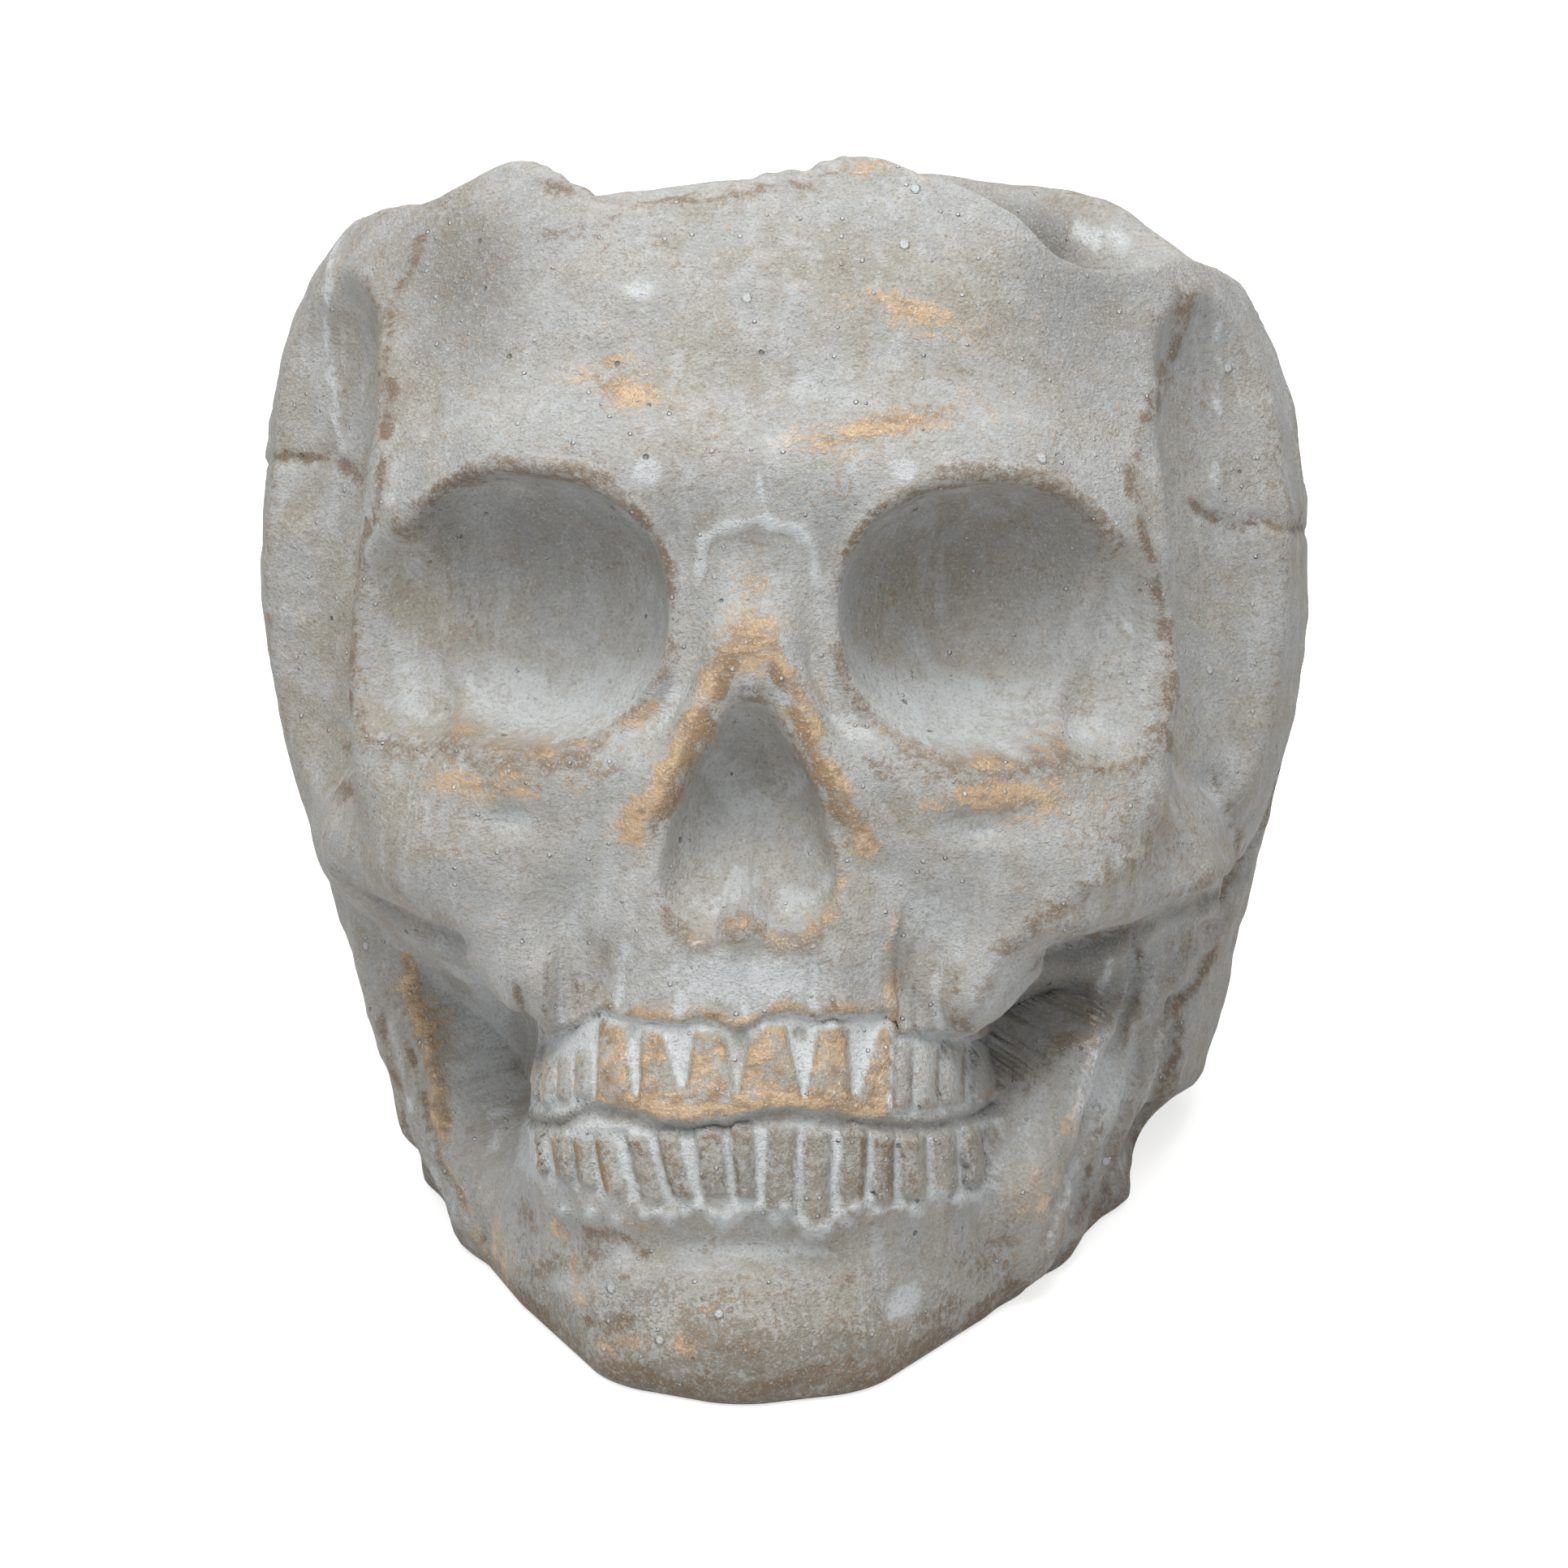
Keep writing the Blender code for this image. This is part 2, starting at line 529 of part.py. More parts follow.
def make_skull():
    """The cement vessel: outer face, rounded rim, well and flat foot in one casting."""
    angle = column_angles(COLUMNS)
    rim = rim_height(angle)
    heights = outer_rows(rim)
    radii = soften(np.array([outer_radius(angle, height) for height in heights]))
    rows = list(zip(radii, heights))
    foot_radius = rows[0][0]
    rings = [ring(angle, np.zeros_like(angle), 0.0)]
    rings.append(ring(angle, foot_radius / 2, 0.0))
    rings.append(ring(angle, foot_radius - FOOT_ROUND, 0.0))
    rings += [ring(angle, radius, height) for radius, height in rows]
    lip = rows[-1][0]
    for i in range(1, RIM_ROWS + 1):
        turn = math.pi * i / RIM_ROWS
        radius = lip - RIM_WALL / 2 * (1 - math.cos(turn))
        rings.append(ring(angle, radius, rim - RIM_ROUND + RIM_ROUND * math.sin(turn)))
    lip_inner = lip - RIM_WALL
    for i in range(1, LIP_ROWS):
        height = rim - RIM_ROUND + (WAX_LEVEL - rim + RIM_ROUND) * i / LIP_ROWS
        blend = smooth(rim - RIM_ROUND - height, 0, WELL_LIP_BLEND)
        radius = lip_inner + (well_radius(angle, height) - lip_inner) * blend
        rings.append(ring(angle, radius, height))
    for level, step in well_levels(WAX_LEVEL):
        height = np.full_like(angle, level)
        rings.append(ring(angle, well_radius(angle, height) - step, level))
    rings.append(ring(angle, np.full_like(angle, WELL_FLOOR_HALF_WIDTH / 3), WELL_FLOOR))
    rings.append(ring(angle, np.zeros_like(angle), WELL_FLOOR))
    return loft("skull_vessel", rings)


def bore_ring(angle, radius, height):
    """Ring about the wick, on the same columns as the rings about the axis."""
    across = WICK_X + np.sin(angle) * radius
    back = WICK_Y - np.cos(angle) * radius
    return np.stack([across, back, np.full_like(angle, height)], 1) * MM


def make_wax():
    """Wax poured to WAX_LEVEL, with a bore for the wick and a pocket for its foot."""
    angle = column_angles(COLUMNS)[::2]
    bore = WICK_RADIUS + CLEARANCE
    collar = TAB_COLLAR_RADIUS + CLEARANCE
    foot = TAB_RADIUS + CLEARANCE
    under = WELL_FLOOR + CLEARANCE
    over_foot = under + TAB_THICKNESS + CLEARANCE
    over_collar = over_foot + TAB_COLLAR_HEIGHT
    rings = [bore_ring(angle, bore, WAX_LEVEL - WAX_DISH_DEPTH)]
    rings.append(bore_ring(angle, WAX_DISH_RADIUS / 2, WAX_LEVEL - WAX_DISH_MIDDLE))
    rings.append(bore_ring(angle, WAX_DISH_RADIUS, WAX_LEVEL))
    for level, step in well_levels(WAX_LEVEL):
        height = np.full_like(angle, level)
        radius = well_radius(angle, height) - step - CLEARANCE
        rings.append(ring(angle, radius, max(level, under)))
    rings.append(bore_ring(angle, foot, under))
    rings.append(bore_ring(angle, foot, over_foot))
    rings.append(bore_ring(angle, collar, over_foot))
    rings.append(bore_ring(angle, collar, over_collar))
    rings.append(bore_ring(angle, bore, over_collar))
    rings.append(rings[0])
    return loft("wax_fill", rings[::-1])


def turned(name, profile):
    """Body turned about the wick from (radius, height) points."""
    angle = np.arange(ROUND_SIDES) * 2 * math.pi / ROUND_SIDES
    return loft(name, [bore_ring(angle, radius, height) for radius, height in profile])


def make_tab():
    """Thin steel foot with a collar that holds the wick at the bottom of the well."""
    under = WELL_FLOOR + CLEARANCE
    over = under + TAB_THICKNESS
    top = over + TAB_COLLAR_HEIGHT
    bore = WICK_RADIUS + CLEARANCE
    return turned("wick_tab", [
        (0, under), (TAB_RADIUS, under), (TAB_RADIUS, over), (TAB_COLLAR_RADIUS, over),
        (TAB_COLLAR_RADIUS, top), (bore, top), (bore, over), (0, over)])


def make_wick():
    """Cotton wick from the foot's collar to above the wax."""
    foot = WELL_FLOOR + CLEARANCE + TAB_THICKNESS + CLEARANCE
    top = WAX_LEVEL + WICK_STAND
    return turned("wick", [(0, foot), (WICK_RADIUS, foot), (WICK_RADIUS, top), (0, top)])


def centre_on_base(skull, parts):
    """Slide every part so that the skull's footprint box is centred on the origin."""
    corners = np.array([vertex.co for vertex in skull.data.vertices])
    middle = (corners.min(0) + corners.max(0)) / 2
    for part in parts:
        part.data.transform(Matrix.Translation((-middle[0], -middle[1], 0)))


def main():
    for old in list(bpy.data.objects):
        bpy.data.objects.remove(old, do_unlink=True)
    skull = make_skull()
    centre_on_base(skull, [skull, make_wax(), make_tab(), make_wick()])


main()
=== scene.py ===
import math

import bmesh
import bpy
import numpy as np
from mathutils import Matrix, Vector


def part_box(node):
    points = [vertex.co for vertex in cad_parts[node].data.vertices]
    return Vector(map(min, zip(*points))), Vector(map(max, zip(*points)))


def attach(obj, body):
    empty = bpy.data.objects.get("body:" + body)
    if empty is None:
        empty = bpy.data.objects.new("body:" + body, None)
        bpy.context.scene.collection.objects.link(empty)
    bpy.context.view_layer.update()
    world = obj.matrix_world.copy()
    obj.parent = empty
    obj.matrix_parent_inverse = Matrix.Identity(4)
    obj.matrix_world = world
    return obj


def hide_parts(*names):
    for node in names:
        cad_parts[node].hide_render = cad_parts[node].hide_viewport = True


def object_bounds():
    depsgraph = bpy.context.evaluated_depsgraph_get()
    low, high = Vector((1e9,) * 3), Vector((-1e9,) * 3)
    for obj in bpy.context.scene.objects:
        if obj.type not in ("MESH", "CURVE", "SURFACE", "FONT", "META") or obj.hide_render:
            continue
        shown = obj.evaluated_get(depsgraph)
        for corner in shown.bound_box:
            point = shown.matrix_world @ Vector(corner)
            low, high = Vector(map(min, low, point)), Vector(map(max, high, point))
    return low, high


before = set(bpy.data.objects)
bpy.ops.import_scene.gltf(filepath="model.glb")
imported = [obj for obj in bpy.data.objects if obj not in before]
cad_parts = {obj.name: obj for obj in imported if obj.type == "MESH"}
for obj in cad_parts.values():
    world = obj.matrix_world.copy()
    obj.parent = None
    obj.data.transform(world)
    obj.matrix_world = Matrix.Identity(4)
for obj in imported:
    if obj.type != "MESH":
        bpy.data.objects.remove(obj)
cadLow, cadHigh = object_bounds()
print("frame loaded:", sorted(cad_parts))

mm = 0.001

# The face is sculpted in its own tilted frame: right, back, up in mm from between the eyes and nose.
stance = {
    "tilt": math.radians(18.5),
    "chinFoot": (0.0, -55.0, -64.0),
    "axisBack": 78.0,  # the upright axis that every ray of the sculpt starts from
    "wellBack": 95.0,
}
wickMiddle = sum(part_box("wick"), Vector()) / 2 / mm
baseRight, baseBack = -wickMiddle.x, stance["wellBack"] - wickMiddle.y  # CAD centres the footprint


def toFace(points):
    back = points[:, 1] * math.cos(stance["tilt"]) - points[:, 2] * math.sin(stance["tilt"])
    up = points[:, 1] * math.sin(stance["tilt"]) + points[:, 2] * math.cos(stance["tilt"])
    foot = stance["chinFoot"]
    return np.stack([points[:, 0], foot[1] + back, foot[2] + up], 1)


def fromFace(right, back, up):
    foot = stance["chinFoot"]
    back -= foot[1]
    up -= foot[2]
    stand = back * math.cos(stance["tilt"]) + up * math.sin(stance["tilt"])
    height = up * math.cos(stance["tilt"]) - back * math.sin(stance["tilt"])
    return Vector((right - baseRight, stand - baseBack, height)) * mm


# Fields: distance in mm, negative inside

def join(first, second, blend):
    overlap = np.maximum(blend - np.abs(first - second), 0) / blend
    return np.minimum(first, second) - overlap * overlap * blend / 4


def carve(body, tool, blend):
    return -join(-body, tool, blend)


def block(points, centre, halfSize, squareness, down=None):
    away = points - np.array(centre, float)
    share = np.abs(away) / np.array(halfSize, float)
    if down is not None:
        share[:, 2] = np.where(away[:, 2] < 0, np.abs(away[:, 2]) / down, share[:, 2])
    reach = (share ** squareness).sum(1) ** (1 / squareness) + 1e-9
    return np.linalg.norm(away, axis=1) * (reach - 1) / reach


def limb(points, chain):
    field = None
    for start, end in zip(chain[:-1], chain[1:]):
        origin = np.array(start[:3], float)
        run = np.array(end[:3], float) - origin
        share = np.clip(((points - origin) @ run) / (run @ run), 0, 1)
        radius = start[3] + (end[3] - start[3]) * share
        piece = np.linalg.norm(points - origin - share[:, None] * run, axis=1) - radius
        field = piece if field is None else np.minimum(field, piece)
    return field


def smooth(value, low, high):
    share = np.clip((value - low) / (high - low), 0, 1)
    return share * share * (3 - 2 * share)


def heightOf(line, across):
    table = np.array(line, float)
    return np.interp(across, table[:, 0], table[:, 1])


def awayFrom(line, across, up):
    nearest = np.full(len(across), 1e9)
    for (x0, z0), (x1, z1) in zip(line[:-1], line[1:]):
        runX, runZ = x1 - x0, z1 - z0
        share = np.clip(((across - x0) * runX + (up - z0) * runZ) / (runX ** 2 + runZ ** 2), 0, 1)
        nearest = np.minimum(nearest, np.hypot(across - x0 - share * runX, up - z0 - share * runZ))
    return nearest


# Big forms of the skull: chains hold right, back, up and radius
skull = {
    # form, blend (negative carves) and whether it stands on both sides, in the order of the work
    "bigSteps": [
        ("neck", 6, False), ("maxilla", 6, True), ("dental", 5, True), ("temple", -1.0, True), ("brow", 7, True),
        ("pillar", 2, True), ("cheekbone", 3.5, True), ("lowerRim", 3, True), ("buttress", 5, True), ("chin", 5, True),
        ("jawBranch", 3, True), ("jawBack", 3, True), ("mastoid", 2.5, True), ("jawPlate", 2.5, False),
        ("rightFill", 3, False), ("archGap", -1.2, True), ("neckCut", -1.6, True), ("eyeFlare", -2.0, True),
    ],
    "smallSteps": [("spine", 1.8, False), ("leftHollow", -1.4, False), ("rightHollow", -1.4, False)],
    "eyeBlend": 0.7, "eyeOuterBlend": 3, "bridgeBlend": 2.4, "ridgeBlend": 2.0, "holeBlend": 0.8,
    "braincase": {"centre": (-0.4, 5, 25), "halfSize": (58.3, 59, 62), "down": 56, "squareness": 2.4},
    "neck": {"centre": (0.3, 22, 8), "halfSize": (52.2, 42, 73), "squareness": 2.4},
    "maxilla": {"centre": (0, -22, -12), "halfSize": (23, 34, 26), "squareness": 2.4},
    "dental": {"centre": (0, -24, -37), "halfSize": (25, 33, 22), "squareness": 2.6},
    "eye": {"centre": (24.4, -54, 17.6), "halfSize": (15.4, 16, 14), "squareness": 2.25},
    "eyeFlare": {"centre": (36.5, -46.5, 14.5), "halfSize": (8.0, 7.5, 10.5), "squareness": 2.2},
    "temple": [(61, -33, 60, 12.5), (58.8, -36, 43, 17.6), (58.2, -36, 25, 18), (60, -33, 6, 17), (62, -28, -4, 13)],
    "brow": [(0, -50, 31, 6.0), (14, -49, 32, 7.0), (26, -45.8, 32, 6.6), (34, -41.2, 28.6, 5.2), (38, -38, 25, 3.8)],
    "lowerRim": [(11, -51.5, 1.5, 3.0), (20, -49.8, 0.4, 3.6), (30, -45.8, 1.4, 3.8), (36.5, -41.5, 3.5, 3.4)],
    "pillar": [(38.4, -37.4, 27, 2.6), (40.4, -37.5, 20, 3.0), (40.4, -38.5, 10, 3.4), (38, -40, 0, 5)],
    "cheekbone": [(18, -47, -3.5, 6), (31, -42.5, -6, 7.4), (41, -30, -7, 6.6), (44.7, -12, -6.5, 5.0),
                  (45.6, -3, -6.0, 4.2)],
    "buttress": [(32, -41, -8, 6.5), (23, -44.5, -20, 4.5)],
    "chin": [(0, -45, -56.5, 12), (6, -43.5, -56, 11.5), (16.1, -29, -51, 10.4), (23.6, -14, -46, 10.1),
             (28, 0, -41, 11)],
    "jawBranch": [(43, -5, -14, 4.5), (39.9, -8, -25, 5.1), (35, -12, -37, 5.9), (28, -17, -45, 7)],
    "jawBack": [(43, 10, -12, 5.5), (39, 6, -28, 6), (32.5, 2, -42, 7)],
    "mastoid": [(44.5, 16, -12, 5.5), (42.5, 14, -21, 4.5)],
    "archGap": [(54.8, 6, 3, 4.5), (54.2, 5, -6, 5.0), (53, 5, -14, 4.5)],
    "neckCut": [(49.6, 3, -42, 9.8), (48.8, 25, -43, 9.8), (40, 48, -46, 9.4)],
    "jawPlate": [(39.5, -10, -17, 3.2), (36, -16, -26, 4.6), (31.5, -23, -37, 5.4), (27, -27, -47, 6)],
    "rightFill": [(34, -23.5, -26.5, 4.2), (30, -27.5, -33, 5.4), (26.5, -30, -42, 6)],
    "bridge": [(0, -47.6, 26, 4.6), (0, -50.9, 19.5, 3.8), (0, -54.1, 13.6, 3.0), (0, -54.6, 11, 2.3)],
    "bridgeWidth": 1.4, "socketEdge": 0.45,
    "noseRidge": [(2.0, -54.4, 13.5, 2.6), (5.6, -54.0, 6, 2.5), (9.0, -53.0, 0, 2.4), (11.8, -51.0, -5, 2.6)],
    "noseHole": [(0, -54.5, 5.6, 2.3), (1.6, -53.0, -0.5, 4.7), (4.0, -58.0, -9.6, 6.4)],
    "noseDepth": 1.5,
    "spine": [(-0.7, -55.4, -15.3, 1.2), (-0.6, -53, -13.9, 1.9)],
    "leftHollow": [(-37, -25.2, -19.5, 3.6), (-32.5, -33.2, -23, 5.2), (-30.8, -36.4, -31, 4.2),
                   (-28.8, -38, -39, 2.8)],
    "rightHollow": [(38.5, -23, -17.5, 3.2), (32, -31, -20.5, 5.6), (28.8, -35, -27, 3.4)],
    # soft dents: centre, half size, depth; a negative depth stands proud
    "dents": [
        ((-32.7, -40, 51.8), (6.5, 9, 7), 1.9), ((32.9, -40, 49.6), (7, 9, 7), 1.4),
        ((-25.8, -50, -4.6), (3.6, 7, 1.3), 1.2), ((23.8, -50, -3.8), (3.4, 7, 1.2), 1.3),
        ((-22, -48, -12), (7, 9, 6), -1.8), ((20.5, -48, -12), (7, 9, 6), -1.9),
        ((0, -53, -47.5), (16, 8, 3.2), 1.8), ((-17.9, -52, -53.6), (3.2, 6, 2.6), -1.2),
        ((-27, -48, -0.5), (9, 8, 2.4), -0.45), ((26, -48, -0.6), (9, 8, 2.4), -0.45),
        ((7.6, -52, 19.0), (2.4, 9, 7), 0.8), ((-7.6, -52, 19.0), (2.4, 9, 7), 0.8),
        ((16.8, -53.4, -53.4), (2.3, 5, 2.0), 1.1), ((-20.5, -50, -48.5), (4, 6, 2.2), 0.8),
        ((-12.5, -52, -50.8), (3, 6, 1.6), -0.7), ((7.5, -53, -50.5), (4, 6, 1.8), -0.5),
        ((24, -49, -50.5), (3, 6, 2.4), -0.8), ((-8, -54, -59.5), (3.4, 6, 1.8), -0.6),
        ((11, -54, -58.5), (3.6, 6, 1.6), 0.6), ((0, -56, -57), (9, 8, 4), -0.5), ((52, 0, 66), (22, 60, 21), 3.3),
        ((-52, 0, 68), (20, 60, 10), 2.6), ((-58, 0, 5), (14, 30, 9), 0.8), ((-50, 0, -15), (12, 26, 7), -1.3),
    ],
}

mouth = {
    "rowHalfWidth": 27.0, "sideFade": 3.5,
    # lines across the face: right and up
    "gum": [
        (-24.5, -25.9), (-22.8, -26.3), (-20.7, -26.5), (-18.3, -25.2), (-16.2, -24.1), (-15.2, -23.4),
        (-13.3, -24), (-10, -24.3), (-6.7, -24.6), (-4.6, -24), (-2.9, -24.3), (-0.6, -25), (0.8, -24.5),
        (2.5, -23.6), (4.5, -23), (7, -23.7), (10.8, -23.2), (14.7, -23.2), (15.4, -25.6), (17.5, -25),
        (20.4, -25.3), (23.3, -26.1), (26.6, -25.4),
    ],
    "bite": [
        (-24.3, -34.8), (-21.8, -35), (-18.9, -34.7), (-16, -33), (-11.9, -33.4), (-8.5, -34.5), (-4.3, -34.5),
        (-1, -34), (2.3, -33.1), (5.6, -32.9), (8.9, -33.3), (13.1, -33.7), (17.2, -34), (21.4, -33.7),
        (25.5, -32.5),
    ],
    "lowerTop": [
        (-24, -36.9), (-17, -36.6), (-13, -36), (-7.6, -35.3), (0, -34.9), (4.4, -34.6), (11.5, -34.7),
        (15, -35.2), (24, -35.2),
    ],
    "lowerFoot": [
        (-24, -41.6), (-18.7, -42), (-12.9, -43), (-8.7, -43.5), (-2.1, -43), (4.6, -43.9), (7.8, -45.5),
        (10, -44.2), (14.5, -43), (24, -42),
    ],
    "front": (-15.7, 15.1), "recess": 0.9, "frontRelief": 1.1, "sideRelief": 0.85,
    # white gaps between the upper front teeth: place at the top, place at the tip, half width at both
    "gaps": [
        (-15.7, -25.5, -15.5, -32.8, 0.45, 0.3), (-11.6, -25.0, -11.0, -32.3, 1.25, 0.4),
        (-6.8, -25.7, -6.1, -31.1, 2.1, 0.6), (-0.5, -26.0, -0.5, -31.5, 1.7, 0.4),
        (6.0, -25.2, 6.5, -31.9, 2.0, 0.35), (12.3, -24.7, 11.6, -31.9, 2.1, 0.5),
    ],
    # side teeth: place at the top, place at the edge, half width at both
    "side": [
        (-23.1, -28.6, -23.0, -33.8, 0.6, 0.65), (-21.3, -28.5, -21.2, -33.9, 0.75, 0.8),
        (-19.2, -28.9, -19.1, -33.3, 0.85, 0.9), (-17.0, -28.0, -16.9, -32.8, 0.9, 1.0),
        (16.3, -26.4, 16.4, -33.1, 0.9, 0.95), (18.7, -26.6, 18.9, -33.2, 1.1, 1.15),
        (21.2, -26.6, 21.4, -33.0, 1.05, 1.1), (24.2, -27.0, 24.4, -32.7, 1.4, 1.4),
    ],
    # lower teeth: place at the top, place at the foot, half width
    "lower": [
        (-22.2, -36.9, -21.5, -41.2, 0.55), (-19.3, -36.8, -18.6, -41.7, 1.05), (-16.8, -36.8, -16, -42.1, 0.95),
        (-14.3, -36.5, -12.7, -42.9, 1.25), (-10.9, -36.2, -8.8, -43.3, 1.2), (-7.7, -35.5, -5.7, -42.7, 1.15),
        (-3.3, -35.3, -2.3, -42.6, 1.35), (0.3, -35.1, 0.8, -42.6, 1.15), (4.4, -34.8, 4.2, -43.8, 1.65),
        (8, -35.1, 7.8, -45.7, 1.5), (11.7, -34.8, 11.5, -44.1, 1.35), (14.6, -35.6, 14.7, -42.8, 1.05),
        (17.5, -35.5, 17.8, -42.3, 1.3), (20.6, -35.5, 21, -41.8, 1.15), (23.3, -35.4, 23.7, -41.6, 1),
        (25.4, -35.4, 25.8, -41.2, 0.6),
    ],
    "lowerRecess": 0.5, "lowerRelief": 1.15, "biteDepth": 1.05, "biteHalfHeight": 0.68, "biteDrop": 0.95,
    "unevenness": 0.13,
    # lumps of lime at the feet of the lower teeth: right, up, radius
    "lumps": [
        (-19.1, -44.7, 0.6), (-15.7, -44.6, 0.8), (-12.8, -45.1, 0.6), (-9.7, -44.3, 0.7), (-8.3, -44.1, 0.6),
        (-7, -44.6, 0.8), (-5.4, -43.9, 0.8), (-4.1, -43.2, 0.7), (-2.7, -44.3, 0.8), (-1.4, -44.9, 1),
        (-0.2, -44.1, 0.8), (0.8, -43.1, 0.8), (2.1, -43.2, 0.6), (3.9, -44.4, 0.8), (5, -43.5, 0.8),
        (6.5, -44.5, 0.7), (7.1, -45.7, 0.8), (8.2, -45.9, 0.8), (9.1, -45.2, 0.7), (10.1, -43.9, 0.8),
        (11, -44.4, 0.7), (12.1, -43.2, 0.7), (13.3, -42.5, 0.6), (14.2, -43.4, 0.6), (16.4, -43.1, 0.5),
        (18, -43.6, 0.7), (19.3, -42.2, 0.6), (20.5, -41.9, 0.6), (22.2, -42.6, 0.8), (23.7, -42.5, 0.8),
        (24.5, -42, 0.5),
    ],
    "lumpHeight": 0.7, "bubbleDepth": 0.3,
    # burst air bubbles under the gum: right, up, radius
    "bubbles": [
        (-12.1, -25.8, 0.85), (-0.2, -26.3, 1.05), (5.8, -25.4, 0.85),
    ],
}


def tooth(across, up, topX, top, edgeX, edge, topHalf, edgeHalf):
    share = np.clip((top - up) / (top - edge), 0, 1)
    centre = topX + (edgeX - topX) * share
    half = topHalf + (edgeHalf - topHalf) * share
    swell = np.clip(1 - np.abs((across - centre) / half) ** 2.6, 0, 1) ** 0.55
    return swell * smooth(up, edge - 0.3, edge + 0.6) * smooth(top - up, -0.3, 0.6)


def wedge(across, up, topX, top, tipX, tip, topHalf, tipHalf):
    share = np.clip((top - up) / (top - tip), 0, 1)
    centre = topX + (tipX - topX) * share
    half = topHalf + (tipHalf - topHalf) * share
    return np.clip(1 - np.abs((across - centre) / half) ** 2.4, 0, 1) ** 0.7 * smooth(up, tip - 0.5, tip + 0.7)


def sideLine(across, up, topX, top, footX, foot, offset, half):
    # a soft line beside a tooth, from its top to its foot
    share = np.clip((top - up) / (top - foot), 0, 1)
    away = across - topX - (footX - topX) * share - offset
    return np.exp(-(away / half) ** 2) * smooth(up, foot - 0.2, foot + 1.2) * smooth(top - up, -0.2, 1.0)


def spotAt(across, up, right, height, radius, power=1):
    return np.exp(-(((across - right) ** 2 + (up - height) ** 2) / radius ** 2) ** power)


def upperRow(across, up):
    # the teeth, the white gaps and the strip under the gum, each 0 to 1
    gum = heightOf(mouth["gum"], across)
    below = smooth(gum - up, -0.2, 0.45) * smooth(up - heightOf(mouth["bite"], across), -0.4, 0.5)
    left, right = mouth["front"]
    front = smooth(across, left - 0.2, left + 0.3) * smooth(right - across, -0.2, 0.3)
    gap = np.zeros(len(across))
    for row in mouth["gaps"]:
        gap = np.maximum(gap, wedge(across, up, *row))
    teeth = front * below * smooth(gum - up, 0.7, 1.8) * (1 - gap)
    side = np.zeros(len(across))
    for row in mouth["side"]:
        side = np.maximum(side, tooth(across, up, *row))
    return teeth, side, gap * front, below


def lowerRow(across, up):
    row = np.zeros(len(across))
    for topX, top, footX, foot, half in mouth["lower"]:
        row = np.maximum(row, tooth(across, up, topX, top, footX, foot, half, half * 1.05))
    return row


def mouthRelief(points):
    relief = np.zeros(len(points))
    near = (np.abs(points[:, 0]) < 28) & (np.abs(points[:, 2] + 34) < 17) & (points[:, 1] < -25)
    if not near.any():
        return relief
    across = points[near, 0] + mouth["unevenness"] * ripples(points[near], 2.6, 61)
    up = points[near, 2] + mouth["unevenness"] * ripples(points[near], 2.2, 62)
    teeth, side, gap, below = upperRow(across, up)
    depth = mouth["recess"] * below - mouth["frontRelief"] * teeth - mouth["sideRelief"] * side
    overFoot = smooth(up - heightOf(mouth["lowerFoot"], across), -0.5, 0.6)
    depth += mouth["lowerRecess"] * overFoot * smooth(heightOf(mouth["lowerTop"], across) - up, -0.5, 0.5)
    depth -= mouth["lowerRelief"] * lowerRow(across, up)
    gap = (up - heightOf(mouth["bite"], across) + mouth["biteDrop"]) / mouth["biteHalfHeight"]
    depth += mouth["biteDepth"] * np.exp(-gap * gap)
    for lump in mouth["lumps"]:
        depth -= mouth["lumpHeight"] * spotAt(across, up, *lump)
    for bubble in mouth["bubbles"]:
        depth += mouth["bubbleDepth"] * spotAt(across, up, *bubble, 2)
    relief[near] = depth * smooth(mouth["rowHalfWidth"] - np.abs(across), 0, mouth["sideFade"])
    return relief


def softDents(points):
    depth = np.zeros(len(points))
    front = points[:, 1] < -20
    for centre, halfSize, deep in skull["dents"]:
        near = front if halfSize[1] < 20 else slice(None)
        away = (points[near] - np.array(centre, float)) / np.array(halfSize, float)
        depth[near] += deep * np.exp(-(away * away).sum(1))
    return depth


def stretched(points, axis, factor, middle=0.0):
    # points squeezed towards a middle, which stretches the form that is measured there
    squeezed = points.copy()
    squeezed[:, axis] = (points[:, axis] - middle) / factor + middle
    return squeezed


def mirrored(points):
    both = points.copy()
    both[:, 0] = np.abs(both[:, 0])
    return both


def blockField(points, name):
    return block(points, *[skull[name].get(key) for key in ("centre", "halfSize", "squareness", "down")])


def formField(points, name):
    return blockField(points, name) if isinstance(skull[name], dict) else limb(points, skull[name])


def shapeBy(body, steps, points, both):
    # each step joins a form with its blend, or carves it where the blend is negative
    for name, blend, twice in steps:
        form = formField(both if twice else points, name)
        body = join(body, form, blend) if blend > 0 else carve(body, form, -blend)
    return body


def skullField(points):
    both = mirrored(points)
    body = shapeBy(blockField(points, "braincase"), skull["bigSteps"], points, both)
    lateral = smooth(both[:, 0], 34, 40)
    body = carve(body, blockField(both, "eye"), skull["eyeBlend"] + skull["eyeOuterBlend"] * lateral)
    bridge = limb(stretched(points, 0, skull["bridgeWidth"]), skull["bridge"])
    body = join(body, bridge, skull["bridgeBlend"])
    body = join(body, limb(both, skull["noseRidge"]), skull["ridgeBlend"])
    hole = limb(stretched(both, 1, skull["noseDepth"], -55.0), skull["noseHole"])
    body = carve(body, hole, skull["holeBlend"])
    body = shapeBy(body, skull["smallSteps"], points, both)
    return body + mouthRelief(points) + softDents(points)


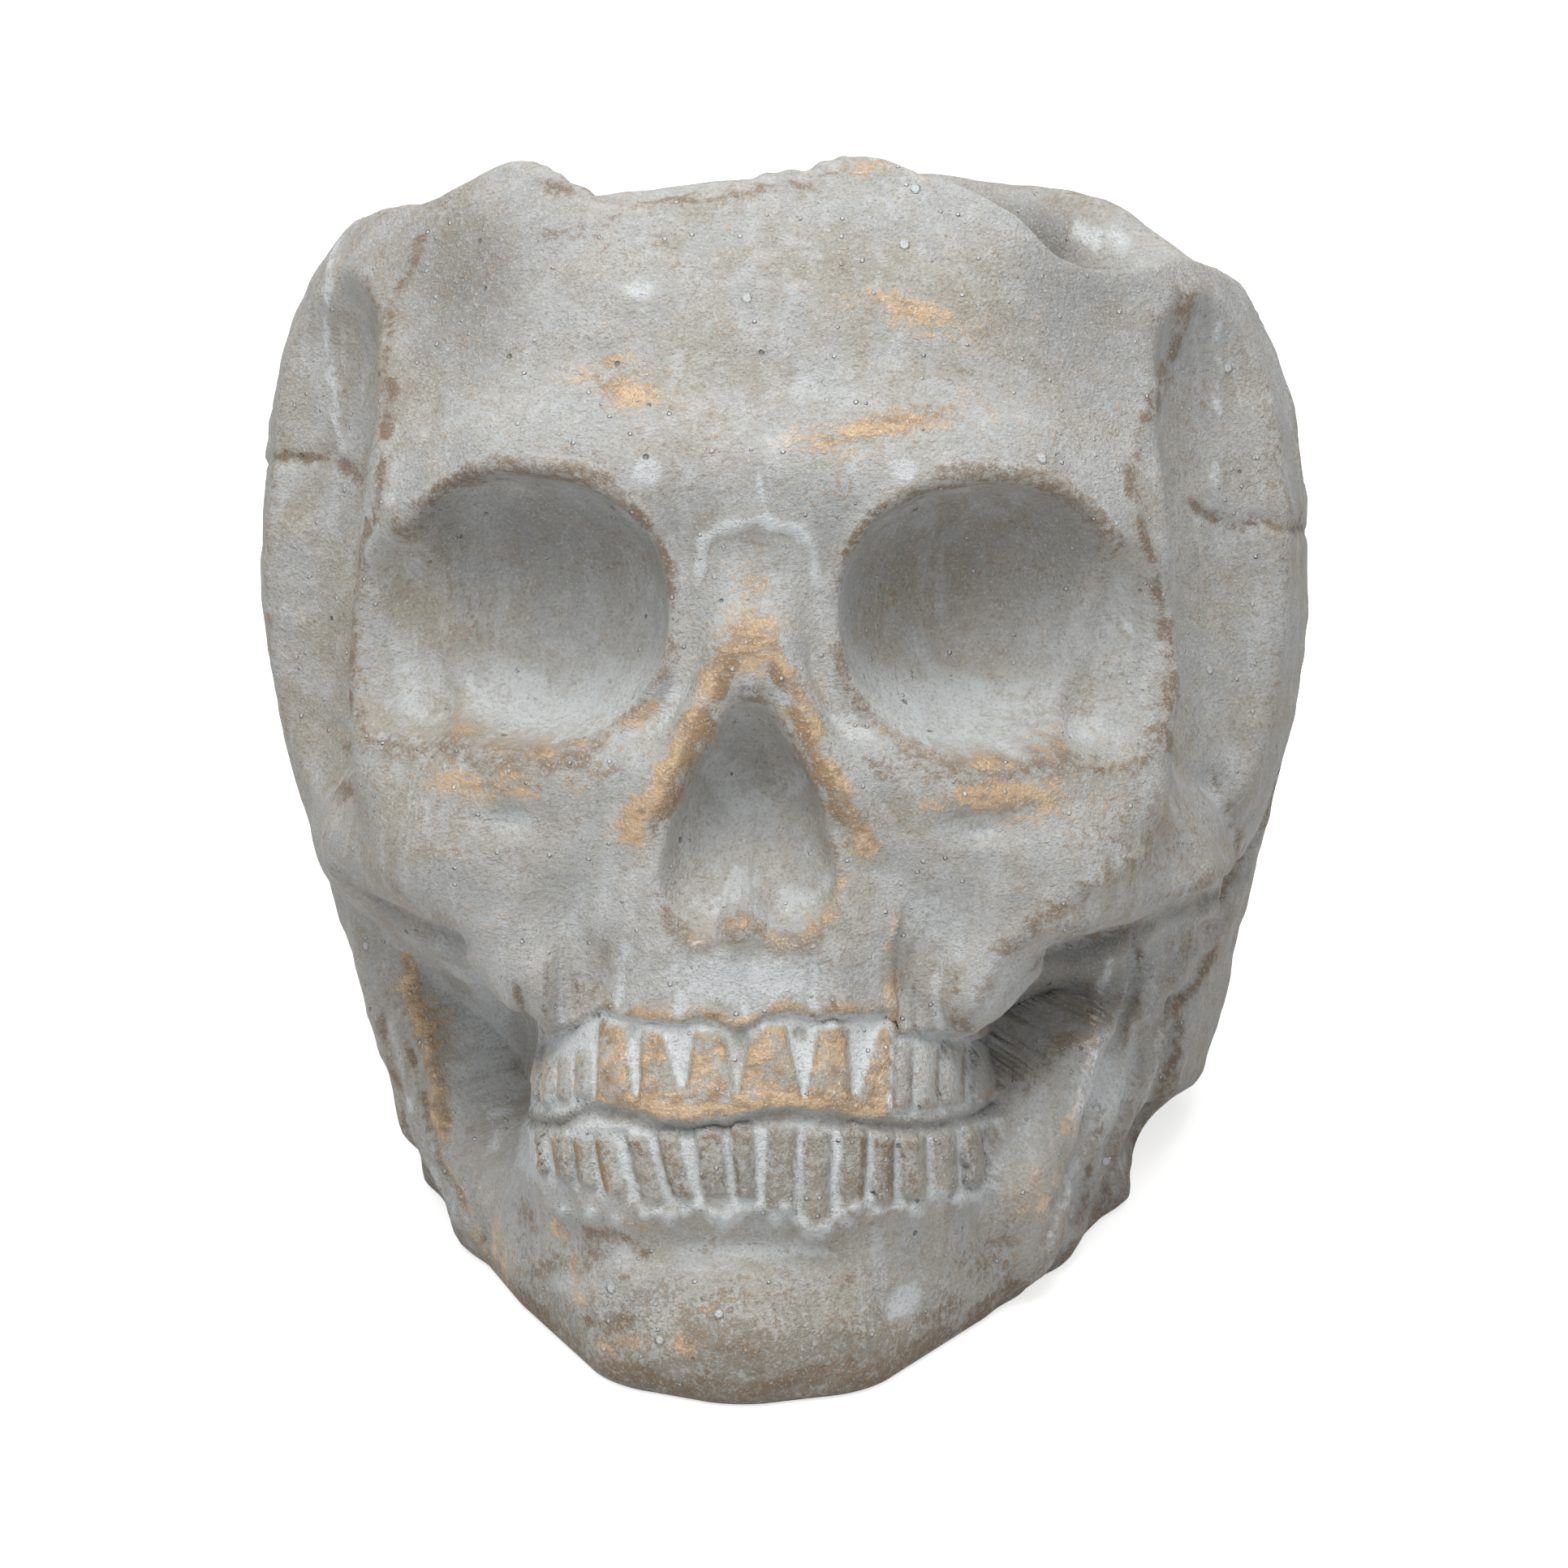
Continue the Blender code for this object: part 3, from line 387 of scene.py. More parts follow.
# Rim, well and mesh fineness
vessel = {
    # height of the rim by angle, 0 at the front and 90 at the right
    "rim": [
        (-172, 96.9), (-160, 95.6), (-148, 95.8), (-130, 98.0), (-113, 101.8), (-98, 104.4), (-88, 105.9),
        (-78, 109.0), (-71, 110.5), (-65, 111.9), (-60, 114.6), (-55.5, 116.7), (-50, 117.0), (-43, 116.6),
        (-37, 115.9), (-30, 114.8), (-20, 115.5), (-10, 116.8), (5, 118.1), (17, 119.1), (25, 118.9), (33, 117.6),
        (40, 115.7), (44, 113.7), (47, 110.6), (50, 108.7), (54, 107.6), (60, 106.9), (66, 106.6), (74, 106.0),
        (83, 103.9), (96, 100.0), (112, 96.5), (126, 93.6), (137, 94.6), (146, 97.6), (158, 97.7), (170, 97.9),
    ],
    # thickness of the wall, rounding of the lip and how far it falls inwards, by angle
    "rimWall": [
        (-180, 9.2), (-92, 9.2), (-76, 5.4), (-34, 5.0), (-15, 7.5), (22, 7.5), (36, 4.4), (68, 4.4), (88, 9.2),
        (180, 9.2),
    ],
    "rimRound": [
        (-180, 3.4), (-90, 3.4), (-70, 2.6), (-30, 2.8), (25, 3.2), (42, 1.4), (66, 1.4), (85, 3.4), (180, 3.4),
    ],
    "rimFall": [
        (-180, 0), (-80, 0), (-66, 0.35), (-38, 0.35), (-26, 0.15), (-15, 0), (28, 0), (40, 0.3), (60, 0.3),
        (75, 0), (180, 0),
    ],
    "innerDrop": 7.0, "footRound": 0.7,
    "wellTop": (42.0, 41.0, 110.0), "wellFloor": (35.0, 34.0, 16.0), "wellSquareness": 2.3,
    "lipBlend": 20.0, "floorFillet": 6.0,
    # marks on the inner wall that show through the notch, the largest of them painted shade: angle, depth under the
    # rim, reach of both, paint and strength
    "innerMarks": [
        (157, 8.4, 12, 7.0, "paintedShade", 1.0), (144.5, 2.5, 2.6, 1.0, "chalk", 1.3),
        (140.5, 1.6, 2.8, 0.8, "chalk", 1.2), (139, 4.0, 4, 1.4, "ochre", 0.45), (150, 0.3, 14, 1.0, "ochre", 0.3),
    ],
    # unevenness of the lip, the skin and the well: size, length of a wave, seed
    "rimRipples": [(0.13, 9.0, 21), (0.13, 4.0, 22)],
    "skinRipples": [(0.16, 17.0, 1), (0.1, 7.0, 2), (0.05, 3.0, 3)],
    "wellRipples": [(0.15, 12.0, 31)],
    "columns": 500, "frontFineness": 0.74, "frontPower": 2.2, "rimRows": 8, "wellRows": 6,
    "easeReach": 14, "easeGap": 0.02, "ridge": (1.5, -0.15), "hollow": (1.8, -0.05),
    # rows up the outside: from, to, how many
    "rowZones": [(0.7, 14, 13), (14, 41, 66), (41, 116, 98)],
}


def columnAngles(count):
    share = 2 * np.arange(count) / count - 1
    fine = vessel["frontFineness"]
    return math.pi * ((1 - fine) * share + fine * np.sign(share) * np.abs(share) ** vessel["frontPower"])


def rimHeight(angle):
    # a smooth curve through the table's heights that closes on itself
    places, heights = np.array(vessel["rim"], float).T
    start = places[0]
    places = np.concatenate([places[-2:] - 360, places, places[:3] + 360])
    heights = np.concatenate([heights[-2:], heights, heights[:3]])
    degrees = (np.degrees(angle) - start) % 360 + start
    i = np.searchsorted(places, degrees, side="right") - 1
    step = places[i + 1] - places[i]
    share = (degrees - places[i]) / step
    rise = (heights[i + 1] - heights[i - 1]) / (places[i + 1] - places[i - 1]) * step
    nextRise = (heights[i + 2] - heights[i]) / (places[i + 2] - places[i]) * step
    cube, square = share ** 3, share ** 2
    height = (2 * cube - 3 * square + 1) * heights[i] + (cube - 2 * square + share) * rise
    return height + (3 * square - 2 * cube) * heights[i + 1] + (cube - square) * nextRise


# How rays from the axis meet the skull and the well: start, steps, share of the gap and when it's closed
solve = {"start": 95.0, "steps": 90, "stride": 0.72, "closed": 0.006, "farthest": 200.0, "halvings": 34}


def outerRadius(angle, height):
    radius = np.full(angle.shape, solve["start"])
    live = np.arange(len(angle))
    for _ in range(solve["steps"]):
        here = np.stack([
            np.sin(angle[live]) * radius[live],
            stance["axisBack"] - np.cos(angle[live]) * radius[live],
            height[live]], 1)
        gap = skullField(toFace(here))
        radius[live] -= np.maximum(gap, 0) * solve["stride"]
        live = live[gap > solve["closed"]]
        if len(live) == 0:
            break
    return radius


def wellRadius(angle, height):
    topWide, topDeep, top = vessel["wellTop"]
    floorWide, floorDeep, floor = vessel["wellFloor"]
    share = np.clip((height - floor) / (top - floor), 0, 1)
    wide = floorWide + (topWide - floorWide) * share
    deep = floorDeep + (topDeep - floorDeep) * share
    near, far = np.zeros_like(angle), np.full_like(angle, solve["farthest"])
    for _ in range(solve["halvings"]):
        middle = (near + far) / 2
        across = np.abs(np.sin(angle) * middle) / wide
        along = np.abs(stance["axisBack"] - np.cos(angle) * middle - stance["wellBack"]) / deep
        inside = across ** vessel["wellSquareness"] + along ** vessel["wellSquareness"] < 1
        near, far = np.where(inside, middle, near), np.where(inside, far, middle)
    return near


def ripples(points, length, seed, count=14):
    # smooth unevenness in -1..1 from waves in many directions, about length mm apart
    draw = np.random.default_rng(seed)
    total = np.zeros(len(points))
    for _ in range(count):
        way = draw.normal(size=3)
        way *= 2 * math.pi / length / np.linalg.norm(way) * draw.uniform(0.6, 1.5)
        total += np.sin(points @ way + draw.uniform(0, 2 * math.pi))
    return total / math.sqrt(count)


def uneven(points, rows):
    return sum(size * ripples(points, length, seed) for size, length, seed in rows)


def toPoints(angle, radius, height):
    height = np.broadcast_to(height, angle.shape)
    return np.stack([np.sin(angle) * radius, stance["axisBack"] - np.cos(angle) * radius, height], -1)


# Lines cast or worn into the cement, drawn from one side: their points, then depth (negative stands
# proud) and half width of the groove, then paint, strength and half width of the stroke
lines = {
    "front": [
        ([(-49, 60), (-49.3, 48), (-48.3, 40.5), (-47.4, 35)], (-0.35, 0.45), ("chalk", 0.9, 0.6)),
        ([(46.9, 54), (47.2, 44.4), (47.2, 38.3), (46.9, 31)], (-0.35, 0.45), ("chalk", 0.8, 0.6)),
        ([(-59, 34), (-54.2, 34.8), (-51.1, 34.2), (-48.8, 35), (-45.2, 31.9)], (0.5, 0.6), ("ochre", 0.8, 0.8)),
        ([(45, 31), (49.8, 28.7), (52, 30.3), (55.2, 29), (59, 30)], (0.5, 0.6), ("ochre", 0.8, 0.8)),
        ([(-37.5, 57), (-40.2, 48.8), (-40.5, 43.7), (-39.6, 39.3), (-39.9, 34.1), (-40.5, 28.2)],
         (-0.3, 0.7), ("ochre", 0.9, 0.8)),
        ([(44.5, 54), (43.1, 50), (41.1, 43.3), (39, 37.4), (38, 32.2), (40.8, 24.2)],
         (-0.3, 0.7), ("ochre", 0.9, 0.8)),
        ([(-40.8, 27.5), (-42.6, 23), (-43.6, 17.1), (-43.4, 9.7), (-43.6, 3.8)], None, ("ochre", 0.9, 0.7)),
        ([(40.8, 23.5), (42.4, 17.6), (42.9, 11.7), (42.7, 4.4)], None, ("ochre", 0.8, 0.7)),
        ([(-6, 20.5), (-5.6, 24.7), (-3.2, 26.4), (0.4, 27.2), (4.1, 26.4), (6.3, 24.3), (6.4, 21)],
         (-0.4, 0.6), ("chalk", 1.4, 0.75)),
        ([(0.4, 32), (0.8, 29.5), (1.2, 27.2)], (0.2, 0.5), ("chalk", 0.9, 0.5)),
        ([(-3, 29.2), (0.6, 29.6), (3.6, 29)], (0.15, 0.4), ("chalk", 0.6, 0.4)),
        ([(-0.8, 15.6), (-3.6, 10.5), (-6.2, 4.5), (-9.6, -2), (-12.2, -5)], None, ("bronze", 1.3, 1.7)),
        ([(-1.6, 12.5), (-4.6, 6.0), (-7.2, 0.5), (-9.4, -4.5)], None, ("ochre", 1.1, 0.9)),
        ([(1.2, 15.6), (4.3, 10.2), (6.8, 4.5), (9.8, -1.8), (12, -6)], None, ("bronze", 1.2, 1.4)),
        ([(2.0, 12.5), (5.2, 6.2), (7.8, 0.5), (10.4, -5.5)], None, ("ochre", 1.1, 0.8)),
        ([(-5.5, -16.2), (-2.4, -15.2), (-0.8, -13.6), (1.3, -14.9), (3.5, -16.2), (6.2, -15.3), (8.5, -13),
          (10, -9.3)],
         None, ("bronze", 0.8, 0.6)),
        ([(15.2, -12.9), (14.5, -18.3), (14.9, -24.1), (14.9, -33)], (-0.5, 0.5), ("bronze", 1.0, 0.6)),
        ([(15.9, -13), (15.5, -18.3), (16, -25)], (0.9, 0.55), ("ochre", 0.4, 0.5)),
        ([(16.9, -16.6), (17.4, -25.4)], (0.5, 0.4), ("ochre", 0.7, 0.4)),
        ([(23, -25.5), (23.2, -22.1), (25.1, -18.3), (28.3, -14.4), (33.6, -10.5), (39.9, -6.6)],
         (-0.5, 0.9), ("ochre", 0.7, 1.3)),
        ([(40, -14.3), (33.6, -15.8), (29.9, -17.4), (26.6, -21.1), (25.9, -24.4)], None, ("ochre", 0.6, 0.6)),
        ([(-24.4, -21.5), (-23.4, -26.8)], (0.5, 0.4), ("ochre", 0.8, 0.45)),
        ([(-17.8, -20.6), (-18, -24.2)], (0.5, 0.4), ("ochre", 0.7, 0.4)),
        ([(-15.1, -17.9), (-16.8, -23.8)], (0.45, 0.5), ("ochre", 0.5, 0.4)),
        ([(-9.2, -17.5), (-9.8, -23)], (-0.5, 1.0), None),
        ([(-3.4, -18.5), (-3.2, -23)], (-0.45, 1.0), None),
        ([(3.4, -18.5), (3.8, -22.5)], (-0.45, 1.0), None),
        ([(9.3, -17), (10, -22.5)], (-0.5, 1.1), None),
        ([(-12.6, -17), (-13.2, -23.4)], (0.35, 0.5), ("chalk", 0.9, 0.7)),
        ([(-6.3, -18), (-6.5, -23.4)], (0.35, 0.5), ("chalk", 0.9, 0.7)),
        ([(0.1, -19.5), (0.3, -23.6)], (0.35, 0.5), ("chalk", 0.9, 0.7)),
        ([(6.6, -18), (7.0, -22.8)], (0.35, 0.5), ("chalk", 0.9, 0.7)),
        ([(-21, -19), (-21.4, -25.6)], (-0.5, 0.9), ("ochre", 0.6, 0.5)),
        ([(-19.4, -18), (-19.6, -25)], (0.4, 0.5), ("chalk", 0.8, 0.6)),
        ([(19.6, -17), (19.6, -24.6)], (0.4, 0.5), ("chalk", 0.8, 0.6)),
        ([(21.6, -18), (21.6, -24.8)], (-0.5, 0.9), ("ochre", 0.6, 0.5)),
        ([(7.4, -16.8), (8.6, -20.5), (9.4, -22.8)], None, ("ochre", 0.7, 0.5)),
        ([(-40.3, -20), (-37.8, -27.9), (-34.8, -38.5)], (-0.8, 0.8), ("bronze", 1.4, 1.1)),
        ([(-44.4, -23), (-38.9, -40.5), (-31.8, -53.3)], (0.9, 0.7), ("ochre", 0.8, 0.6)),
        ([(-42.2, -27), (-37, -41.5), (-31, -51)], (0.8, 0.6), ("chalk", 0.6, 0.5)),
        ([(-39.8, -29), (-35, -42), (-29.5, -50)], (0.8, 0.6), ("ochre", 0.9, 0.5)),
        ([(-34.9, -40.1), (-31.4, -47.3), (-29.7, -51.2)], None, ("bronze", 0.7, 0.7)),
        ([(35.4, -20), (35.1, -26.9), (34.5, -31.8), (33, -35.8), (29.2, -41.2)],
         (-0.4, 0.8), ("bronze", 0.7, 0.8)),
        ([(40.2, -16.5), (40.4, -19.7), (39.6, -23.2), (37.8, -29.9), (35.7, -37.5), (34.4, -46.4)],
         (1.9, 0.8), ("ochre", 1.0, 0.6)),
        ([(40.8, -25.5), (40, -31.7), (37.7, -40.1), (36, -46.4)], (1.6, 0.7), ("ochre", 0.8, 0.6)),
        ([(44.5, -22.5), (44.3, -28), (42.8, -32.9), (41.2, -37.4), (39.1, -42.8)],
         (2.0, 0.8), ("ochre", 1.1, 0.7)),
        ([(37.3, -26), (36.2, -33), (33.7, -40.5), (31.5, -48)], (1.1, 0.6), ("chalk", 0.7, 0.5)),
        ([(42.5, -25), (41.8, -31.5), (39.6, -38.8), (37.6, -44.5)], (1.1, 0.6), ("chalk", 0.7, 0.5)),
        ([(47.9, -14.8), (48.4, -17.7), (46.2, -21.3), (44.8, -23.4)], (1.5, 1.0), ("ochre", 0.9, 0.7)),
        # painted shade along the crease under the right cheek arch
        ([(31, -17.4), (35, -16.4), (39.5, -14.9), (43.8, -12.6), (47.4, -11.4)], (1.8, 1.1), ("paintedShade", 0.75, 1.0)),
        ([(29, -14.6), (34, -13.4), (39.5, -12.0), (43.8, -9.9), (47.6, -8.4), (50, -6.5)],
         (-0.7, 1.3), ("ochre", 0.35, 1.0)),
        # painted shade along the crease under the left cheek arch
        ([(-31, -17.6), (-36, -16.2), (-41, -14.2), (-45, -12.0)], (1.6, 1.1), ("paintedShade", 0.4, 0.9)),
        ([(36.6, -17.8), (36.2, -21), (35.6, -24)], (-0.3, 0.6), ("chalk", 0.9, 0.7)),
        ([(-35.6, -18.4), (-31.2, -23.8), (-29.8, -30.4), (-28.5, -38.5)], (-0.3, 1.0), ("chalk", 0.9, 1.5)),
        ([(-20, -46.4), (-17.6, -49.5), (-16.4, -53.8)], (0.3, 0.7), ("bronze", 0.9, 0.8)),
        ([(-19.2, -46.2), (-12.5, -46.8), (-9.5, -48.5)], (0.2, 0.6), ("ochre", 0.9, 0.7)),
        ([(-16, -56), (-10.4, -59.4), (-4, -60.6), (3, -60.2)], (0.3, 0.6), ("ochre", 0.6, 0.9)),
        ([(7, -60.4), (15.9, -58.6), (21.3, -57.2), (26.1, -54.7), (28.6, -50.5)],
         (0.25, 0.6), ("ochre", 0.9, 1.0)),
        ([(47.6, 1.5), (50.0, -2.0), (50.9, -5.5), (50.4, -8.8), (48.6, -11)], (1.3, 0.9), ("ochre", 0.8, 0.8)),
    ],
    "left": [
        ([(-10, 32), (0, 37.5), (14, 39), (27, 33), (36, 20), (41, 6)], (0.5, 0.6), ("ochre", 0.6, 0.8)),
        ([(-14, 34), (-6, 45), (0, 58)], (-0.3, 0.45), ("chalk", 0.6, 0.6)),
    ],
    "right": [
        ([(-10, 30), (0, 34), (15, 37.5), (28, 31), (37, 18), (42, 5)], (0.5, 0.6), ("ochre", 0.6, 0.8)),
        ([(-13, 31), (-5, 44), (2, 58)], (-0.3, 0.45), ("chalk", 0.6, 0.6)),
    ],
    "back": [
        ([(-43, 5), (-34, 17), (-24, 24), (-12, 36), (0, 43), (12, 36), (25, 25), (35, 16), (43, 4)],
         (0.5, 0.6), ("ochre", 0.6, 0.8)),
    ],
}

# The hand that drew the lines: how far and how often it wanders, how its paint fades
hand = {"wander": 0.25, "wanderLength": 5.0, "fadeLength": 4.0, "fadeRange": (0.3, 1.2)}

# Rubbed or filled patches by paint, and patches of painted shade: right, up, half width, half height, slope and
# strength
patches = {
    "bronze": [
        (-14.5, 40.6, 4.2, 1.8, -0.25, 1.0), (-16, 43.5, 2.2, 0.9, 0.1, 0.8), (13.2, 37.2, 10.5, 1.9, 0.27, 1.0),
        (15.2, 49.4, 5.2, 2.2, -0.2, 0.8), (10.5, 64.2, 3.4, 1.5, 0, 0.6), (0.1, 14.6, 3.4, 3.8, 0, 1.0),
        (-27, -0.6, 9.0, 1.9, -0.02, 0.75), (25.6, -0.9, 8.8, 2.0, 0.05, 0.95), (-10.5, 7.2, 2.4, 2.0, 0.9, 0.6),
        (-20.8, 34.2, 2.6, 1.3, 0.4, 0.4), (-4.5, -57.2, 2.8, 1.6, 0.3, 0.8), (30, -45, 3.0, 4.0, 0.9, 0.5),
        (0, 20, 2.4, 4.5, 0, 0.4), (-14.6, 61.6, 3.4, 1.1, 0, 0.7), (-13, -58, 3.6, 1.2, 0.2, 0.75),
        (-27.5, -50.5, 1.6, 3.5, -0.5, 0.6), (-10.3, -45.9, 2.6, 0.8, -0.2, 0.6), (-1, -53.4, 3.0, 1.0, 0.3, 0.55),
    ],
    "ochre": [
        (-22.5, 3.2, 8.5, 0.6, 0.08, 0.6), (-28, 31.6, 5.0, 1.2, 0.35, 0.7), (-13.5, 61.5, 8.0, 1.4, -0.1, 0.9),
        (-11, 56.5, 2, 0.8, 0, 0.5), (-44.5, -1.5, 2.6, 1.4, 0, 0.9), (-45.6, 3, 1.4, 1.0, 0, 0.7),
        (-12, -55.6, 2.2, 1.5, 0.3, 0.9), (-16.5, -50, 2.6, 3.6, 0, 0.55), (-9.5, -61, 4, 1.4, 0, 0.8),
        (13, -61.4, 6, 1.3, 0.2, 0.9), (26, -48.5, 3.0, 3.5, 0.8, 0.7), (22, -49, 3.5, 1.6, 0.1, 0.5),
        (40, -1.5, 3.5, 3.0, 0, 0.4), (-22.4, 62.2, 3.2, 1.0, -0.3, 0.95), (-22, 57, 5, 1.5, 0.1, 0.55),
        (45, -17, 2.4, 3, 0, 0.4), (38, 60, 4, 1.6, -0.9, 0.6), (43, 53, 2.4, 3, 0, 0.5),
        (-5, 66, 26, 2.2, 0.02, 0.45), (-36, 62, 5, 3, -0.6, 0.4), (28, 63, 8, 3, -0.35, 0.4),
        (46, 44, 3, 9, 0, 0.28), (-37, -6, 7, 4, 0.2, 0.3), (41, -5, 8, 4.5, 0, 0.48),
        (-21, -51, 3.4, 1.4, 0.4, 0.85), (-24, -46, 2.6, 1.6, -0.5, 0.7), (4, -57.5, 3.4, 1.0, 0.1, 0.6),
        (21, -54.5, 3.4, 1.2, 0.4, 0.75), (11, -50.6, 3.5, 0.9, 0.1, 0.5), (-16.1, -48.4, 4.0, 2.6, 0, 0.6),
        (25.1, -49.1, 2.6, 1.6, 0.5, 0.6),
    ],
    "chalk": [
        (-11.2, 31.8, 1.7, 1.5, 0, 1.2), (15.1, 32.6, 1.6, 1.4, 0, 1.1), (38.4, 17.6, 0.8, 0.8, 0, 1.2),
        (16.8, -53.2, 1.7, 1.5, 0.3, 1.6), (-24, 8, 9, 5, 0, 0.35), (25, 7, 9, 4, 0, 0.3), (0, -11, 7, 4, 0, 0.1),
        (-19, -52.5, 2.2, 1.6, 0, 0.6), (-6, -60.6, 1.8, 0.6, 0, 0.8), (-39, 29, 0.9, 0.9, 0, 0.9),
        (0, 45, 7, 14, 0, 0.18), (29, -38, 4, 5, 0, 0.35), (-31, -29, 3, 9, 0, 0.35),
        # the wide patch under the nose, the patch on the right jaw and the tall one in the left cheek hollow are chalk
        # wash laid strong, partly as painted light on places in shade
        (29, -35.5, 2.2, 3.0, 0.5, 0.6), (25.5, -39.5, 2.0, 2.0, 0, 0.6), (0, -20, 11, 3, 0, 1.0),
        (-19, -13, 7, 6, 0, 0.45), (19, -13, 7, 6, 0, 0.52), (36.6, -31, 4, 7, 0, 0.85),
        (-31.1, -27, 3.2, 9, 0, 0.95), (27, -24, 4, 6, 0, 0.4), (40.5, -20, 2.6, 3.5, 0, 0.6),
        (-13, 51, 2.2, 1.2, 0, 0.8), (2, 33.5, 3, 4, 0, 0.5), (-31, -43, 4.5, 6, 0, 0.4),
        (-4, -49.4, 6, 0.9, 0.05, 0.6), (17.7, -51.4, 2.6, 1.3, 0.7, 0.55), (-17.6, -53, 2.4, 2.0, 0, 0.4),
    ],
    # painted shade in the forehead dents, the top of the nose hole and under the right cheek arch
    "paintedShade": [
        (34, -17.5, 4.5, 3.0, 0.4, 0.6), (-32.7, 51.8, 8, 9, 0, 0.66), (33, 49.6, 8.5, 9, 0, 0.58),
        (0, 2.5, 2.8, 4.2, 0, 0.4), (34.5, -19, 4, 2.5, 0.4, 0.5), (-26, 45, 9, 5, 0, 0.12),
    ],
}


def drawnFrom(view, face):
    # places across and up on the points seen from that side, off by a hand's unsteadiness
    right, back = face[:, 0], face[:, 1]
    near = {"front": back < 12, "back": back > 30, "right": right > 30, "left": right < -30}[view]
    across = face[near, 0 if view in ("front", "back") else 1]
    return across + hand["wander"] * ripples(face[near], hand["wanderLength"], 7), face[near, 2], near


def engrave(face):
    depth = np.zeros(len(face))
    for view, rows in lines.items():
        across, up, near = drawnFrom(view, face)
        for line, groove, _ in rows:
            if groove:
                depth[near] += groove[0] * np.exp(-(awayFrom(line, across, up) / groove[1]) ** 2)
    # the thin raised edge round the sockets
    front = (face[:, 1] < -34) & (np.abs(face[:, 0]) > 8) & (np.abs(face[:, 2] - 17) < 20)
    eye = blockField(mirrored(face[front]), "eye")
    depth[front] -= skull["socketEdge"] * np.exp(-((eye - 0.9) / 0.75) ** 2)
    return depth


def paintMask(face, paint):
    mask = np.zeros(len(face))
    for view, rows in lines.items():
        across, up, near = drawnFrom(view, face)
        faded = np.clip(0.85 + 0.35 * ripples(face[near], hand["fadeLength"], 8), *hand["fadeRange"])
        for line, _, stroke in rows:
            if stroke and stroke[0] == paint:
                spot = stroke[1] * faded * np.exp(-(awayFrom(line, across, up) / stroke[2]) ** 2)
                mask[near] = np.maximum(mask[near], spot)
    for right, height, wide, tall, slope, strength in patches.get(paint, []):
        across = face[:, 0] - right
        up = face[:, 2] - height - slope * across
        spot = strength * np.exp(-(across / wide) ** 2 - (up / tall) ** 2) * (face[:, 1] < -5)
        mask = np.maximum(mask, spot)
    return mask


def lay(shaped, name, values, near=slice(None)):
    shaped[name][near] = np.maximum(shaped[name][near], values)


# Strength of the paint round the sockets, with the painted shade in their tops and in the hollows of the cheeks
socketPaint = {"ochre": 1.0, "bronze": 0.9, "shade": 0.42, "chalk": 0.62, "leftHollow": 0.15, "rightHollow": 0.75}


def paintSockets(face, shaped):
    both = mirrored(face)
    up = face[:, 2]
    eye = blockField(both, "eye")
    rimLine = np.exp(-((eye - 0.75) / 0.42) ** 2) * (face[:, 1] < -30)
    crisp = 1 - smooth(both[:, 0], 34, 38)
    lay(shaped, "ochre", socketPaint["ochre"] * rimLine * smooth(up, 19, 25) * crisp)
    lay(shaped, "bronze", socketPaint["bronze"] * rimLine * smooth(-up, -9, -5) * crisp)
    inside = smooth(0.5 - eye, 0, 0.6) * (face[:, 1] < -25)
    # painted shade in the top of each socket; chalk wash in the lower half, partly painted light where light from
    # above falls
    lay(shaped, "paintedShade", socketPaint["shade"] * smooth(up, 12, 27) * inside)
    lay(shaped, "chalk", socketPaint["chalk"] * smooth(17 - up, 0, 9) * inside)
    # painted shade in the hollows of the cheeks
    for name in ("leftHollow", "rightHollow"):
        dark = smooth(1.2 - limb(face, skull[name]), 0, 2.5) * smooth(up, -31, -21)
        lay(shaped, "paintedShade", socketPaint[name] * dark)


def paintInside(grid, shaped):
    points = grid.reshape(-1, 3)
    angle = np.arctan2(points[:, 0], stance["axisBack"] - points[:, 1])
    under = rimHeight(angle) - points[:, 2]
    reach = np.hypot(points[:, 0], points[:, 1] - stance["axisBack"])
    wall = smooth(66 - reach, 0, 1) * (points[:, 1] > 60)
    for place, depth, wide, tall, name, strength in vessel["innerMarks"]:
        spot = strength * np.exp(-((np.degrees(angle) - place) / wide) ** 4 - ((under - depth) / tall) ** 4)
        lay(shaped, name, spot * wall)


# Strength of the paint on the teeth, and in the gaps, the bite and the bubbles between them; the bite and the bubbles
# get painted shade
mouthPaint = {
    "tooth": 0.4, "besideGap": 0.75, "patchiness": 0.25, "toothFoot": 0.75, "gumEdge": (0.2, 0.75),
    "sideBronze": 0.8, "sideOchre": 0.6, "sideFoot": 0.7, "lowerGap": 0.8, "crust": 0.5, "lumpReach": 1.25,
    "rootWash": 0.4, "bite": 0.5, "bubbleShade": 0.3, "bubbleClear": 0.8, "worn": 0.75,
}


